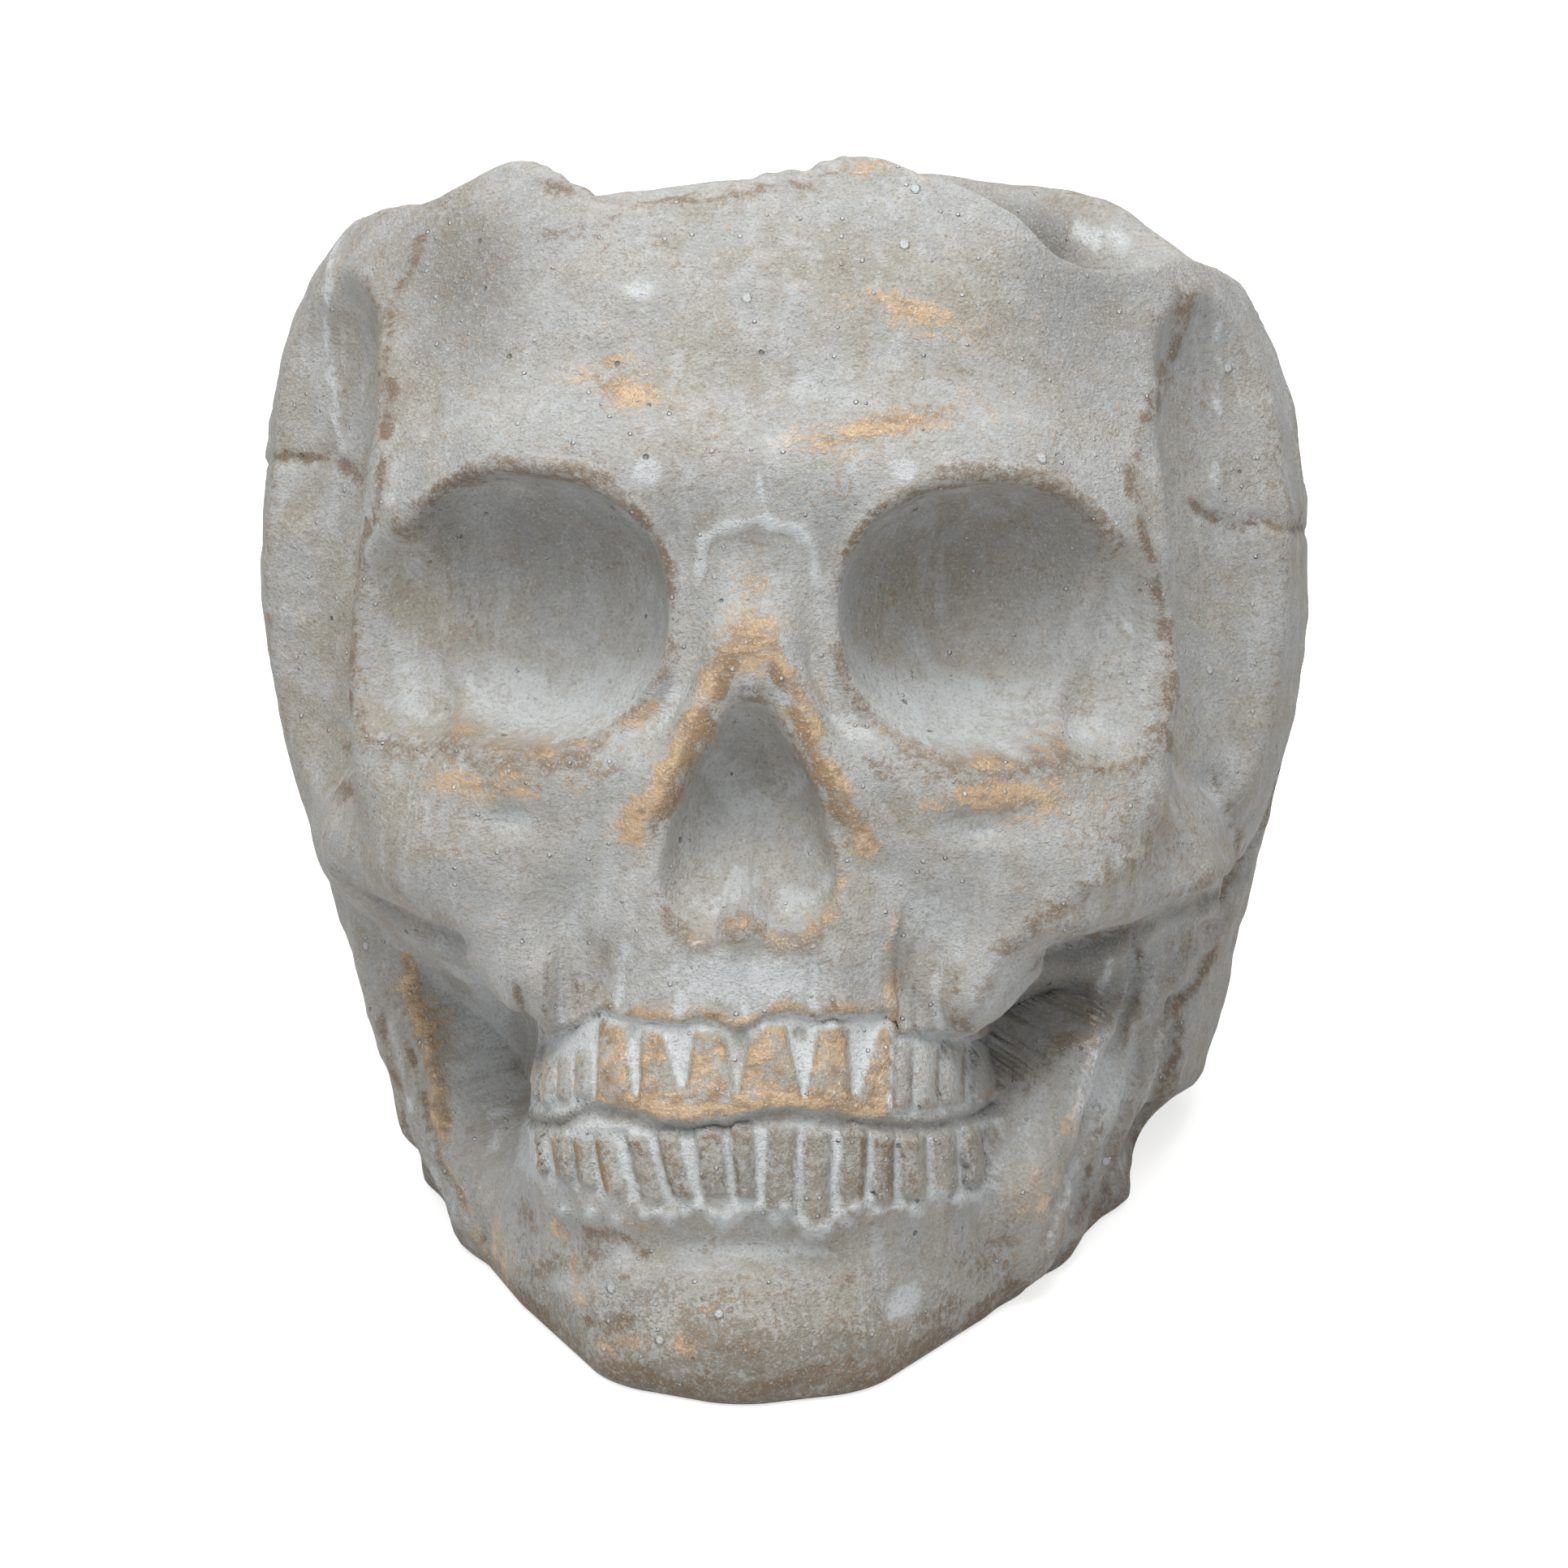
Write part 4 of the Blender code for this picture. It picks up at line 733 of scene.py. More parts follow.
def paintMouth(face, shaped):
    near = (np.abs(face[:, 0]) < 29) & (np.abs(face[:, 2] + 32) < 20) & (face[:, 1] < -22)
    across, up = face[near, 0], face[near, 2]
    front = smooth(mouth["rowHalfWidth"] - np.abs(across), 0, 1.5)
    middle = smooth(15.6 - np.abs(across), 0, 1.2)
    patchy = ripples(face[near], 2.6, 51)
    overGum = up - heightOf(mouth["gum"], across)
    overBite = up - heightOf(mouth["bite"], across)
    overFoot = up - heightOf(mouth["lowerFoot"], across)
    teeth, side, gap, below = upperRow(across, up)
    lower = lowerRow(across, up)
    paint = mouthPaint
    besideGap = paint["besideGap"] * np.exp(-((gap - 0.3) / 0.3) ** 2)
    toothFoot = paint["toothFoot"] * smooth(2.2 + 0.5 * patchy - overBite, 0, 1.3)
    bronze = teeth * np.clip(paint["tooth"] + besideGap + paint["patchiness"] * patchy + toothFoot, 0, 1)
    aside, centre = paint["gumEdge"]
    gumEdge = np.exp(-((overGum - 0.5) / 0.7) ** 2) * (aside + centre * middle) * np.clip(0.85 + 0.4 * patchy, 0, 1)
    bronze = np.maximum(bronze, gumEdge)
    sideFoot = paint["sideFoot"] * side * smooth(1.6 - overBite, 0, 0.9)
    bronze = np.maximum(bronze, sideFoot)
    ochre = np.zeros(len(across))
    for topX, top, edgeX, edge, _, half in mouth["side"]:
        # bronze beside the teeth on the left, ochre beside those on the right
        if topX < 0:
            line = sideLine(across, up, topX, top, edgeX, edge, -half * 0.75, 0.3)
            bronze = np.maximum(bronze, paint["sideBronze"] * line)
        else:
            line = sideLine(across, up, topX, top, edgeX, edge, half * 0.8, 0.35)
            ochre = np.maximum(ochre, paint["sideOchre"] * line)
    for topX, top, footX, foot, half in mouth["lower"]:
        place = -half * 0.7 if topX < 9 else half * 0.75
        strength = 0.95 if topX < -14 or 11 < topX < 15 else 0.6 if topX < 2 else 0.35
        edge = strength * sideLine(across, up, topX, top, footX, foot, place, 0.42)
        ochre = np.maximum(ochre, edge)
        bronze = np.maximum(bronze, edge * (topX < -12))
    strip = below * (1 - smooth(teeth + side, 0.15, 0.6))
    strip *= np.where(np.abs(across + 0.5) < 2.2, 0.45, 0.75 + 0.25 * middle)
    lowerGap = (1 - smooth(lower, 0.05, 0.5)) * smooth(overFoot, -0.4, 0.5) * smooth(-overBite, 1.2, 2.2)
    crust = paint["crust"] * np.exp(-((overFoot + 0.3 * patchy) / 0.6) ** 2)
    for right, height, radius in mouth["lumps"]:
        crust = np.maximum(crust, spotAt(across, up, right, height, radius * paint["lumpReach"]))
    rootWash = paint["rootWash"] * smooth(17 - np.abs(across), 0, 4) * smooth(up, -24, -21) * smooth(-up, 14, 17)
    chalk = np.maximum.reduce([strip, paint["lowerGap"] * lowerGap, crust, rootWash]) * front
    bubble = np.zeros(len(across))
    for row in mouth["bubbles"]:
        bubble = np.maximum(bubble, spotAt(across, up, *row, 2))
    chalk *= 1 - paint["bubbleClear"] * bubble
    # painted shade along the bite and in the bubbles
    bite = paint["bite"] * np.exp(-((overBite + mouth["biteDrop"]) / 0.75) ** 2)
    paintedShade = np.maximum(bite, paint["bubbleShade"] * bubble)
    shaped["chalk"][near] *= 1 - smooth(bronze, 0.3, 0.7)
    lay(shaped, "chalk", chalk, near)
    lay(shaped, "bronze", bronze * front, near)
    lay(shaped, "ochre", ochre * front, near)
    lay(shaped, "paintedShade", paintedShade * front, near)
    lay(shaped, "worn", paint["worn"] * lower * smooth(overFoot, 0, 1) * front, near)


def gridNormals(grid):
    # outward normals of rows of rings that close on themselves
    around = np.roll(grid, -1, axis=1) - np.roll(grid, 1, axis=1)
    along = np.gradient(grid, axis=0)
    normal = np.cross(around, along)
    length = np.linalg.norm(normal, axis=2, keepdims=True) + 1e-12
    return normal / length


def blurGrid(values, reach):
    for _ in range(reach):
        values = (np.roll(values, 1, axis=1) + values * 2 + np.roll(values, -1, axis=1)) / 4
        padded = np.concatenate([values[:1], values, values[-1:]])
        values = (padded[:-2] + padded[1:-1] * 2 + padded[2:]) / 4
    return values


def sculptSkull():
    angle = columnAngles(vessel["columns"])
    rim = rimHeight(angle)
    rim = rim + uneven(toPoints(angle, 50.0, 0), vessel["rimRipples"])
    rim = np.minimum(rim, cadHigh.z / mm - 0.05)
    foot = vessel["footRound"]
    zones = [np.linspace(low, high, count + 1)[1:] for low, high, count in vessel["rowZones"]]
    share = (np.concatenate([[foot]] + zones) - foot)[:, None] / (vessel["rowZones"][-1][1] - foot)
    probe = [outerRadius(angle, rim - drop) for drop in (1.2, 4.2)]
    lean = np.clip(np.arctan2(probe[1] - probe[0], 3.0), 0, 1.0)  # how far the dome leans in at the rim
    for _ in range(3):
        lean = (np.roll(lean, 1) + lean + np.roll(lean, -1)) / 3
    degrees = np.degrees(angle)
    lipWall, lipRound, lipFall = (heightOf(vessel[name], degrees) for name in ("rimWall", "rimRound", "rimFall"))
    lipHeight = rim - lipRound * (1 - np.sin(lean))
    heights = foot + share * (lipHeight - foot)
    around = np.broadcast_to(angle, heights.shape)
    radius = outerRadius(around.ravel().copy(), heights.ravel().copy()).reshape(heights.shape)
    print("skull outline solved")
    outer = toPoints(around, radius, heights)
    normal = gridNormals(outer)
    flat = toFace(outer.reshape(-1, 3))
    depth = engrave(flat) + uneven(flat, vessel["skinRipples"])
    calm = smooth(share, 0.0, 0.04) * smooth(1 - share, 0.0, 0.03)  # the foot and the lip keep their line
    outer = outer - normal * (depth.reshape(heights.shape) * calm)[:, :, None]
    lip = radius[-1]
    rings = list(outer)
    crest = lip - lipRound * np.cos(lean)
    for i in range(1, vessel["rimRows"] + 1):
        turn = lean + (math.pi - lean) * i / vessel["rimRows"]
        outside = turn <= math.pi / 2
        wide = np.where(outside, lipRound, lipWall - lip + crest)
        tall = np.where(outside, lipRound, vessel["innerDrop"])
        fall = np.where(outside, 0, -np.cos(turn) * wide * lipFall)
        rings.append(toPoints(angle, crest + wide * np.cos(turn), rim - tall * (1 - np.sin(turn)) - fall))
    lipInner = lip - lipWall
    lipHeight = rim - vessel["innerDrop"]
    wellFloor = vessel["wellFloor"][2]
    low = wellFloor + vessel["floorFillet"]
    for i in range(1, vessel["wellRows"] + 1):
        height = lipHeight + (low - lipHeight) * i / vessel["wellRows"]
        blend = smooth(lipHeight - height, 0, vessel["lipBlend"])
        wall = lipInner + (wellRadius(angle, height) - lipInner) * blend
        wall = wall + uneven(toPoints(angle, wall, height), vessel["wellRipples"])
        rings.append(toPoints(angle, wall, height))
    lowRadius = wellRadius(angle, np.full_like(angle, low))
    for turn in np.radians((30, 60, 90)):
        drop = vessel["floorFillet"] * math.sin(turn)
        inward = vessel["floorFillet"] * (1 - math.cos(turn))
        rings.append(toPoints(angle, lowRadius - inward, low - drop))
    rings.append(toPoints(angle, np.full_like(angle, 12.0), wellFloor))
    under = [toPoints(angle, radius[0] * part, 0.0) for part in (0.3, 0.7)]
    under.append(toPoints(angle, radius[0] - foot, 0.0))
    grid = np.array(under + rings)
    return grid, len(under), len(outer)


def placed(name, data):
    thing = bpy.data.objects.new(name, data)
    bpy.context.scene.collection.objects.link(thing)
    return thing


def moulded(name, grid, lowPole, highPole):
    # a sphere's poles and rings pushed out to the sculpted rows
    rows, columns = grid.shape[:2]
    shape = bmesh.new()
    bmesh.ops.create_uvsphere(shape, u_segments=columns, v_segments=rows + 1, radius=1)
    data = bpy.data.meshes.new(name)
    shape.to_mesh(data)
    shape.free()
    place = np.zeros(len(data.vertices) * 3)
    data.vertices.foreach_get("co", place)
    place = place.reshape(-1, 3)
    lat = np.arccos(np.clip(-place[:, 2], -1, 1)) / math.pi * (rows + 1)
    row = np.rint(lat).astype(int)
    turn = np.arctan2(place[:, 0], -place[:, 1]) / (2 * math.pi) + 0.5
    column = np.rint(turn * columns).astype(int) % columns
    pole = (row == 0) | (row == rows + 1)
    row = np.clip(row - 1, 0, rows - 1)
    points = grid[row, column]
    points[pole & (place[:, 2] < 0)] = lowPole
    points[pole & (place[:, 2] > 0)] = highPole
    points = (points - np.array([baseRight, baseBack, 0])) * mm
    data.vertices.foreach_set("co", points.ravel())
    data.update()
    faceOut(data)
    return placed(name, data), row, column


def faceOut(data):
    shape = bmesh.new()
    shape.from_mesh(data)
    bmesh.ops.recalc_face_normals(shape, faces=shape.faces)
    shape.to_mesh(data)
    shape.free()
    data.shade_smooth()


def addMask(piece, name, values):
    layer = piece.data.attributes.new(name, "FLOAT", "POINT")
    layer.data.foreach_set("value", np.clip(values, 0, 1).astype(np.float32))


def insideBox(piece):
    # the finest forms are eased back into the box of the solid they stand for
    place = np.zeros(len(piece.data.vertices) * 3)
    piece.data.vertices.foreach_get("co", place)
    place = place.reshape(-1, 3)
    for axis in range(3):
        low, high = cadLow[axis] + vessel["easeGap"] * mm, cadHigh[axis] - vessel["easeGap"] * mm
        for sign, limit in ((1, high), (-1, -low)):
            value = place[:, axis] * sign
            start = limit - vessel["easeReach"] * mm
            reach = value.max() - start
            if value.max() <= limit:
                continue
            beyond = np.maximum(value - start, 0)
            place[:, axis] -= sign * beyond * (1 - (limit - start) / reach)
    piece.data.vertices.foreach_set("co", place.ravel())
    piece.data.update()


def makeSkull():
    grid, firstOuter, outerCount = sculptSkull()
    lowPole = (0, stance["axisBack"], 0)
    highPole = (0, stance["wellBack"], vessel["wellFloor"][2])
    piece, row, column = moulded("skull_cast", grid, lowPole, highPole)
    normal = gridNormals(grid)
    spacing = np.linalg.norm(np.roll(grid, -1, axis=1) - grid, axis=2) + 0.3
    bulge = np.zeros(grid.shape[:2])
    for reach in (1, 3):
        around = (np.roll(grid, reach, axis=1) + np.roll(grid, -reach, axis=1)) / 2 - grid
        padded = np.concatenate([grid[:1]] * reach + [grid] + [grid[-1:]] * reach)
        along = (padded[:-2 * reach] + padded[2 * reach:]) / 2 - grid
        bulge -= ((around + along) * normal).sum(2) / (spacing * reach)
    bulge = blurGrid(bulge, 1)
    face = toFace(grid.reshape(-1, 3))
    shaped = {name: paintMask(face, name) for name in patches}
    shaped["worn"] = smooth(-face[:, 2], 44, 60) * (face[:, 1] < 0)
    paintSockets(face, shaped)
    paintMouth(face, shaped)
    paintInside(grid, shaped)
    shaped = {name: values.reshape(bulge.shape) for name, values in shaped.items()}
    outside = np.zeros(bulge.shape)
    outside[firstOuter:firstOuter + outerCount] = 1
    shaped["ridge"] = np.clip(bulge * vessel["ridge"][0] + vessel["ridge"][1], 0, 1) * outside
    shaped["hollow"] = np.clip(-bulge * vessel["hollow"][0] + vessel["hollow"][1], 0, 1)
    for name, values in shaped.items():
        addMask(piece, name, values[row, column])
    insideBox(piece)
    print("skull cast:", len(piece.data.polygons), "faces")
    return piece


# Shader nodes

def fill(tree, socket, value):
    if isinstance(value, bpy.types.NodeSocket):
        tree.links.new(value, socket)
    else:
        socket.default_value = value


def addNode(tree, kind, sockets, **settings):
    # one node: its settings, then a value or a link for each socket
    node = tree.nodes.new("ShaderNode" + kind)
    for key, value in settings.items():
        setattr(node, key, value)
    for socket, value in sockets.items():
        fill(tree, node.inputs[socket], value)
    return node.outputs


class Paints:
    def __init__(self, name):
        self.material = bpy.data.materials.new(name)
        self.material.use_nodes = True
        self.tree = self.material.node_tree
        self.coordinates = self.add("TexCoord", {})["Object"]

    def add(self, kind, sockets, **settings):
        return addNode(self.tree, kind, sockets, **settings)

    def finish(self, sockets):
        for name, value in sockets.items():
            fill(self.tree, self.tree.nodes["Principled BSDF"].inputs[name], value)
        return self.material

    def noise(self, size, detail=3.0, roughness=0.55, stretch=None, warp=0.0):
        place = self.coordinates
        if stretch:
            place = self.add("Mapping", {"Scale": stretch, "Vector": place})["Vector"]
        return self.add("TexNoise", {"Scale": 1 / (size * mm), "Detail": detail, "Roughness": roughness,
                                     "Distortion": warp, "Vector": place})["Fac"]

    def spots(self, size, radius, share):
        # round spots in a share of the cells, radius in cell sizes
        cell = self.add("TexVoronoi", {"Scale": 1 / (size * mm), "Vector": self.coordinates})
        inside = self.between(cell["Distance"], radius * 1.4, radius * 0.7)
        return self.times(inside, self.between(cell["Color"], 1 - share, 1.01 - share))

    def mask(self, name):
        return self.add("Attribute", {}, attribute_name=name)["Fac"]

    def maths(self, operation, first, second):
        return self.add("Math", {0: first, 1: second}, operation=operation)[0]

    def times(self, first, second):
        return self.maths("MULTIPLY", first, second)

    def total(self, *values):
        result = values[0]
        for value in values[1:]:
            result = self.maths("ADD", result, value)
        return result

    def between(self, value, low, high, start=0.0, end=1.0):
        sockets = {"Value": value, "From Min": low, "From Max": high, "To Min": start, "To Max": end}
        return self.add("MapRange", sockets, interpolation_type="SMOOTHSTEP")["Result"]

    def mix(self, factor, first, second):
        return self.add("Mix", {"Factor": factor, "A": first, "B": second}, data_type="RGBA")["Result"]

    def bump(self, height, distance, strength=1.0, under=None):
        sockets = {"Distance": distance * mm, "Strength": strength, "Height": height}
        if under is not None:
            sockets["Normal"] = under
        return self.add("Bump", sockets)["Normal"]


cement = {
    "grey": (0.515, 0.51, 0.48, 1), "warm": (0.435, 0.40, 0.34, 1), "cool": (0.50, 0.52, 0.525, 1),
    "chalk": (0.72, 0.75, 0.765, 1), "bronze": (0.55, 0.385, 0.235, 1), "tarnish": (0.29, 0.185, 0.10, 1),
    # the dark grey is painted shade, laid in shaded hollows, creases and pits
    "ochre": (0.225, 0.15, 0.09, 1), "paintedShade": (0.19, 0.19, 0.18, 1), "sand": (0.31, 0.265, 0.205, 1),
    # sizes of the noises in mm, then spots: cell size, radius and share of the cells
    "cloud": 26.0, "blotch": 7.0, "smudge": 2.4, "brush": 2.2, "speck": 0.8, "grain": 0.34,
    "dots": (1.5, 0.14, 0.34), "bigDots": (5.5, 0.09, 0.24), "pits": (3.6, 0.07, 0.32),
    "roughness": (0.74, 0.92),
    # height in mm and strength of the relief from grain, specks, smudges and spots
    "relief": [(0.19, 0.9), (0.42, 0.8), (0.55, 0.5), (0.3, 0.9)],
}


def cementMaterial():
    p = Paints("whitewashed_cement")
    cloud = p.noise(cement["cloud"], 4, 0.6, warp=0.4)
    blotch = p.noise(cement["blotch"], 5, 0.65, warp=0.5)
    smudge = p.noise(cement["smudge"], 4, 0.7, stretch=(0.5, 1, 1.2))
    speck = p.noise(cement["speck"], 3, 0.75)
    grain = p.noise(cement["grain"], 2, 0.75)
    brush = p.noise(cement["brush"], 4, 0.6, stretch=(1, 1, 0.14))
    colour = cement["grey"]

    def layer(value, low, high, most, name):
        # a wash of one colour where a value passes from low to high
        nonlocal colour
        colour = p.mix(p.between(value, low, high, 0, most), colour, cement[name])

    def dab(factor, paint):
        nonlocal colour
        colour = p.mix(factor, colour, paint)

    layer(cloud, 0.36, 0.64, 1, "warm")
    layer(blotch, 0.42, 0.62, 0.7, "cool")
    layer(brush, 0.48, 0.68, 0.34, "chalk")
    layer(smudge, 0.52, 0.68, 0.28, "chalk")
    layer(smudge, 0.46, 0.30, 0.22, "sand")
    layer(p.times(p.mask("hollow"), p.between(blotch, 0.35, 0.55)), 0.15, 0.8, 0.55, "chalk")
    # painted shade in the tops of the sockets, the cheek hollows, the creases under the arches, the bite and the well
    dab(p.times(p.mask("paintedShade"), p.between(smudge, 0.3, 0.6, 0.65, 1.0)), cement["paintedShade"])
    # brown sand shows through in specks where the wash is worn
    worn = p.mask("worn")
    layer(p.total(worn, p.between(speck, 0.35, 0.65, -0.5, 0.3), p.between(blotch, 0.35, 0.65, -0.45, 0.2)),
          0.2, 0.85, 0.8, "sand")
    dab(p.times(worn, p.between(speck, 0.58, 0.68, 0, 0.7)), cement["chalk"])
    freckled = p.times(p.between(speck, 0.54, 0.66), p.between(blotch, 0.6, 0.42))
    dab(p.times(freckled, 0.4), cement["ochre"])
    # ochre along edges, broken up by specks
    broken = p.total(p.between(speck, 0.3, 0.7, -0.24, 0.24), p.between(grain, 0.3, 0.7, -0.2, 0.2))
    ochre = p.mask("ochre")
    edge = p.maths("MAXIMUM", ochre, p.times(p.mask("ridge"), 0.65))
    layer(p.total(edge, broken, p.between(smudge, 0.35, 0.65, -0.3, 0.12)), 0.15, 0.8, 0.82, "ochre")
    # bronze rubbed on the high places, lighter where it is thick
    rubbed = p.total(p.mask("bronze"), broken, p.between(smudge, 0.35, 0.65, -0.32, 0.2))
    rubbed = p.between(rubbed, 0.15, 0.8, 0, 0.92)
    bright = p.times(p.between(smudge, 0.40, 0.58), p.between(ochre, 0.7, 0.2, 0.15, 1.0))
    dab(rubbed, p.mix(bright, cement["tarnish"], cement["bronze"]))
    # chalk left in the recesses
    layer(p.total(p.mask("chalk"), p.between(speck, 0.35, 0.65, -0.25, 0.15)), 0.15, 0.85, 0.92, "chalk")
    # light and dark sand grains
    layer(grain, 0.53, 0.72, 0.5, "chalk")
    layer(grain, 0.47, 0.29, 0.5, "sand")
    # a few cells of each size become white lime dots, or small pits darkened with painted shade
    lime = p.maths("MAXIMUM", p.spots(*cement["dots"]), p.spots(*cement["bigDots"]))
    pits = p.spots(*cement["pits"])
    dab(p.times(lime, 0.75), cement["chalk"])
    dab(p.times(pits, 0.7), cement["paintedShade"])
    surface = None
    for height, (most, strength) in zip((grain, speck, smudge, p.maths("SUBTRACT", lime, pits)), cement["relief"]):
        surface = p.bump(height, most, strength, surface)
    rough = p.total(p.between(blotch, 0.3, 0.7, *cement["roughness"]), p.times(rubbed, -0.35))
    return p.finish({"Base Color": colour, "Metallic": p.times(rubbed, 0.4), "Roughness": rough,
                     "Specular IOR Level": 0.25, "Normal": surface})


wax = {
    "colour": (0.80, 0.74, 0.60, 1), "pale": (0.86, 0.82, 0.72, 1), "columns": 160,
    "clearance": 0.3, "waves": [(0.12, 14.0, 41)],
    # the surface: inward from the edge and drop, then radius round the wick and drop
    "meniscus": [(0.5, 0.0), (1.6, 0.45), (4.0, 0.8), (9.0, 1.0), (16.0, 1.0)],
    "dish": [(20.0, 0.9), (12.0, 1.0), (7.0, 1.5), (4.0, 1.9), (2.4, 1.7), (1.4, 1.2)],
    "core": 6.0,
}
waxFloor, waxLevel = (corner.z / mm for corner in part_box("wax_fill"))


def makeWax():
    angle = columnAngles(wax["columns"])
    wickBack = stance["wellBack"]
    fillet = vessel["wellFloor"][2] + vessel["floorFillet"]
    gap = wax["clearance"]
    sides = [(waxFloor, 6.0), (fillet - 3, 1.8), (fillet, gap), (48.0, gap), (waxLevel - 0.4, gap)]
    rings = [toPoints(angle, wellRadius(angle, np.full_like(angle, height)) - inward, height)
             for height, inward in sides]
    edge = wellRadius(angle, np.full_like(angle, waxLevel)) - gap
    for inward, drop in wax["meniscus"]:
        rings.append(toPoints(angle, edge - inward, waxLevel - drop))
    for radius, drop in wax["dish"]:
        back = wickBack - np.cos(angle) * radius
        rings.append(np.stack([np.sin(angle) * radius, back, np.full_like(angle, waxLevel - drop)], 1))
    grid = np.array(rings)
    wave = uneven(grid.reshape(-1, 3), wax["waves"]).reshape(grid.shape[:2])
    grid[6:, :, 2] += wave[6:]
    piece, _, _ = moulded("wax_surface", grid, (0, wickBack, waxFloor), (0, wickBack, waxLevel - wax["core"]))
    p = Paints("poured_wax")
    cloud = p.noise(18.0, 3, 0.5)
    frost = p.noise(2.4, 5, 0.7, warp=0.5)
    colour = p.mix(p.between(cloud, 0.35, 0.65), wax["colour"], wax["pale"])
    colour = p.mix(p.between(frost, 0.55, 0.7, 0, 0.35), colour, wax["pale"])
    piece.data.materials.append(p.finish({
        "Base Color": colour, "Roughness": p.between(frost, 0.35, 0.7, 0.34, 0.55),
        "Subsurface Weight": 0.35, "Subsurface Scale": 0.004,
        "Normal": p.bump(frost, 0.15, 0.4, p.bump(cloud, 1.2, 0.3))}))
    return piece


wick = {"radius": 1.05, "strands": 3, "turnsPerMm": 0.16, "rows": 90, "columns": 28, "lean": 1.4, "leanOver": 9.0,
        "cotton": (0.78, 0.74, 0.64, 1), "shade": (0.52, 0.46, 0.36, 1)}


def makeWick():
    low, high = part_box("wick")
    bottom, top = low.z / mm, high.z / mm
    angle = np.arange(wick["columns"]) * 2 * math.pi / wick["columns"] - math.pi
    rings = []
    for share in np.linspace(0, 1, wick["rows"]):
        height = bottom + (top - bottom) * share
        twist = 2 * math.pi * wick["turnsPerMm"] * height
        braid = np.abs(np.cos((angle + twist) * wick["strands"] / 2))
        counter = np.abs(np.cos((angle - twist) * wick["strands"] / 2))
        radius = wick["radius"] * (0.80 + 0.2 * np.maximum(braid, counter))
        if share > 0.985:
            radius = radius * 0.75
        lean = wick["lean"] * (max(height - waxLevel, 0) / wick["leanOver"]) ** 2
        across = np.sin(angle) * radius + lean
        rings.append(np.stack([across, stance["wellBack"] - np.cos(angle) * radius, np.full_like(angle, height)], 1))
    ends = [(ring[:, 0].mean(), ring[:, 1].mean(), ring[0, 2]) for ring in (rings[0], rings[-1])]
    piece, _, _ = moulded("wick_braid", np.array(rings), *ends)
    p = Paints("braided_cotton")
    fibre = p.noise(0.35, 4, 0.7, stretch=(1, 1, 0.4))
    piece.data.materials.append(p.finish({
        "Base Color": p.mix(p.between(fibre, 0.4, 0.62), wick["cotton"], wick["shade"]),
        "Roughness": p.between(fibre, 0.3, 0.7, 0.75, 0.95), "Normal": p.bump(fibre, 0.12, 0.8)}))
    return piece


tab = {"bright": (0.60, 0.60, 0.59, 1), "dull": (0.45, 0.44, 0.42, 1)}


def finishTab():
    p = Paints("stamped_steel")
    streak = p.noise(0.8, 4, 0.6, stretch=(0.15, 1, 1))
    steel = p.finish({
        "Base Color": p.mix(p.between(streak, 0.35, 0.65), tab["bright"], tab["dull"]), "Metallic": 1.0,
        "Roughness": p.between(streak, 0.3, 0.7, 0.28, 0.42), "Normal": p.bump(streak, 0.03, 0.5)})
    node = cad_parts["wick_tab"]
    if node.material_slots:
        node.material_slots[0].material = steel
    else:
        node.data.materials.append(steel)


skullPiece = makeSkull()
skullPiece.data.materials.append(cementMaterial())
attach(skullPiece, "root")
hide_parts("skull_vessel")

waxPiece = makeWax()
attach(waxPiece, "root")
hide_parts("wax_fill")

wickPiece = makeWick()
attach(wickPiece, "root")
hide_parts("wick")

finishTab()
print("pieces finished")


# Camera as in the photograph, pale floor and soft light
studio = {
    "distance": 700.0, "aside": math.radians(3.75), "roll": math.radians(1.32), "frameWidth": 174.7,
    "sensor": 36.0, "aimUp": 0.2,
    "floorHalf": 3.0, "floorColour": (0.62, 0.62, 0.62, 1), "floorSeen": (0.8, 0.8, 0.8, 1), "floorGlow": 0.7,
    "sky": 0.33, "keyPlace": (-0.08, -0.44, 0.85), "keySize": 0.7, "keyPower": 5.8,
    "topPlace": (0.05, 0.12, 1.0), "topSize": 0.9, "topPower": 4.0,
}


def addCamera():
    away, aside, roll = studio["distance"], studio["aside"], studio["roll"]
    target = fromFace(0, 0, studio["aimUp"])
    source = fromFace(away * math.sin(aside), -away * math.cos(aside), studio["aimUp"])
    faceUp = (fromFace(0, 0, 100) - target).normalized()
    look = (target - source).normalized()
    right = look.cross(faceUp).normalized()
    up = right.cross(look)
    sides = (right * math.cos(roll) + up * math.sin(roll), up * math.cos(roll) - right * math.sin(roll), -look, source)
    data = bpy.data.cameras.new("camera")
    data.sensor_width = studio["sensor"]
    data.lens = studio["sensor"] * away / studio["frameWidth"]
    data.clip_start = 0.05
    data.clip_end = 20
    camera = placed("camera", data)
    camera.matrix_world = Matrix([[side[axis] for side in sides] for axis in range(3)] + [(0, 0, 0, 1)])
    bpy.context.scene.camera = camera


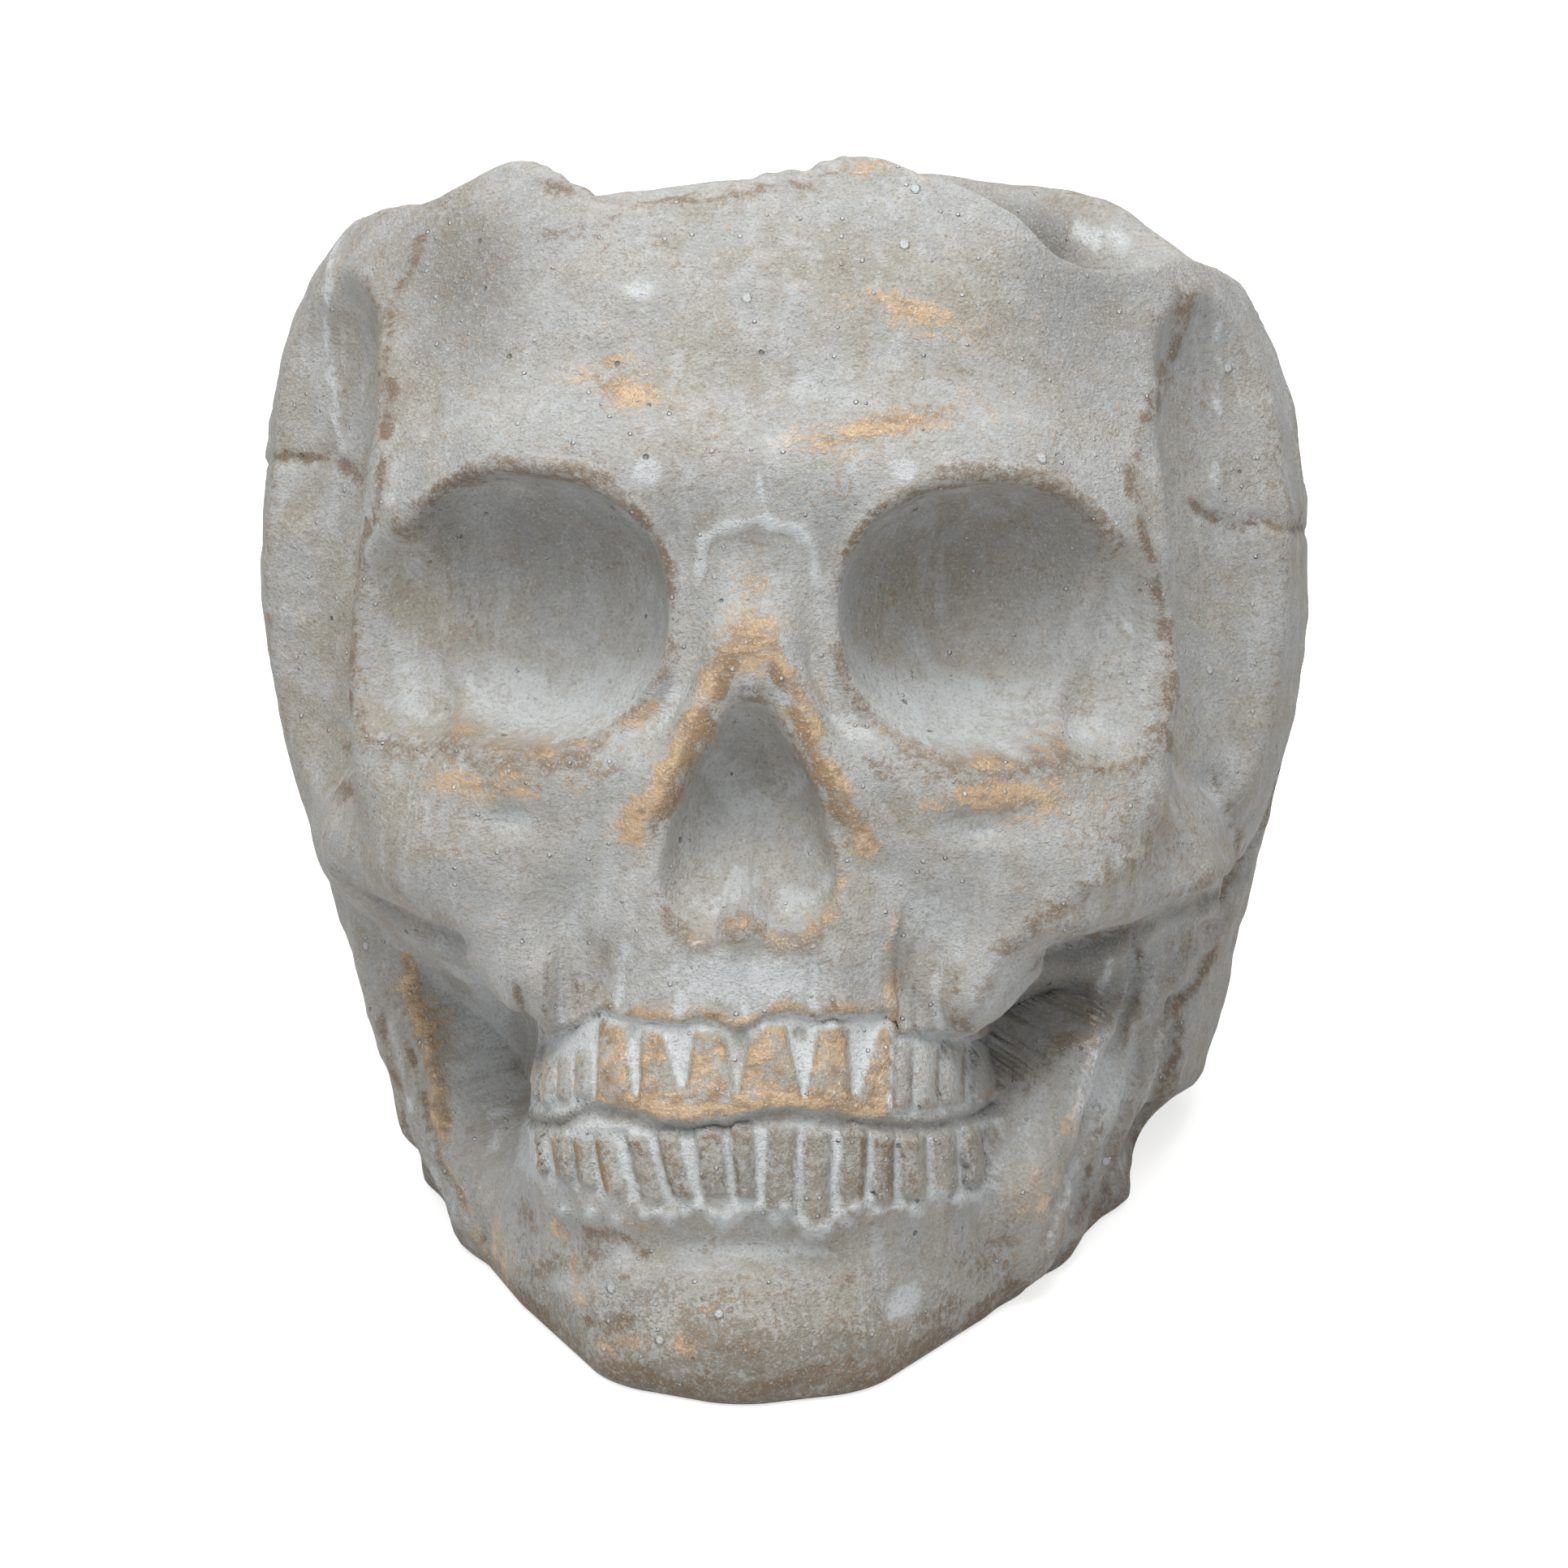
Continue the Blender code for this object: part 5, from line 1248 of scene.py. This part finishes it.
def addSoftbox(name):
    data = bpy.data.lights.new(name, "AREA")
    data.size = studio[name + "Size"]
    data.energy = studio[name + "Power"]
    lamp = placed(name, data)
    lamp.location = studio[name + "Place"]
    lamp.rotation_mode = "QUATERNION"
    lamp.rotation_quaternion = (Vector((0, 0, 0.05)) - lamp.location).to_track_quat("-Z", "Y")


def showToCamera(tree, lighting, seen, output):
    # the camera, metal and glass see one shader, all else is lit by the other
    path = tree.nodes.new("ShaderNodeLightPath").outputs
    rays = path["Is Camera Ray"]
    for name in ("Is Glossy Ray", "Is Transmission Ray"):
        rays = addNode(tree, "Math", {0: rays, 1: path[name]}, operation="MAXIMUM")[0]
    fill(tree, output.inputs["Surface"], addNode(tree, "MixShader", {0: rays, 1: lighting, 2: seen})[0])


def addWorld():
    world = bpy.data.worlds.new("studio")
    bpy.context.scene.world = world
    world.use_nodes = True
    tree = world.node_tree
    dim = tree.nodes["Background"]
    dim.inputs["Color"].default_value = (1, 1, 1, 1)
    dim.inputs["Strength"].default_value = studio["sky"]
    white = addNode(tree, "Background", {"Color": (1, 1, 1, 1), "Strength": 1.0})
    showToCamera(tree, dim.outputs[0], white[0], tree.nodes["World Output"])


def addFloor():
    shape = bmesh.new()
    bmesh.ops.create_grid(shape, x_segments=1, y_segments=1, size=studio["floorHalf"])
    data = bpy.data.meshes.new("floor")
    shape.to_mesh(data)
    shape.free()
    floor = placed("floor", data)
    floor.location.z = -0.0002
    p = Paints("pale_floor")
    data.materials.append(p.finish({
        "Base Color": studio["floorColour"], "Roughness": 1.0, "Specular IOR Level": 0.0}))
    bright = p.add("BsdfDiffuse", {"Color": studio["floorSeen"]})[0]
    glow = p.add("Emission", {"Strength": studio["floorGlow"]})[0]
    plain = p.tree.nodes["Principled BSDF"].outputs[0]
    showToCamera(p.tree, plain, p.add("AddShader", {0: bright, 1: glow})[0], p.tree.nodes["Material Output"])


addCamera()
addSoftbox("key")
addSoftbox("top")
addWorld()
addFloor()
bpy.context.scene.view_settings.view_transform = "Standard"
print("studio ready")
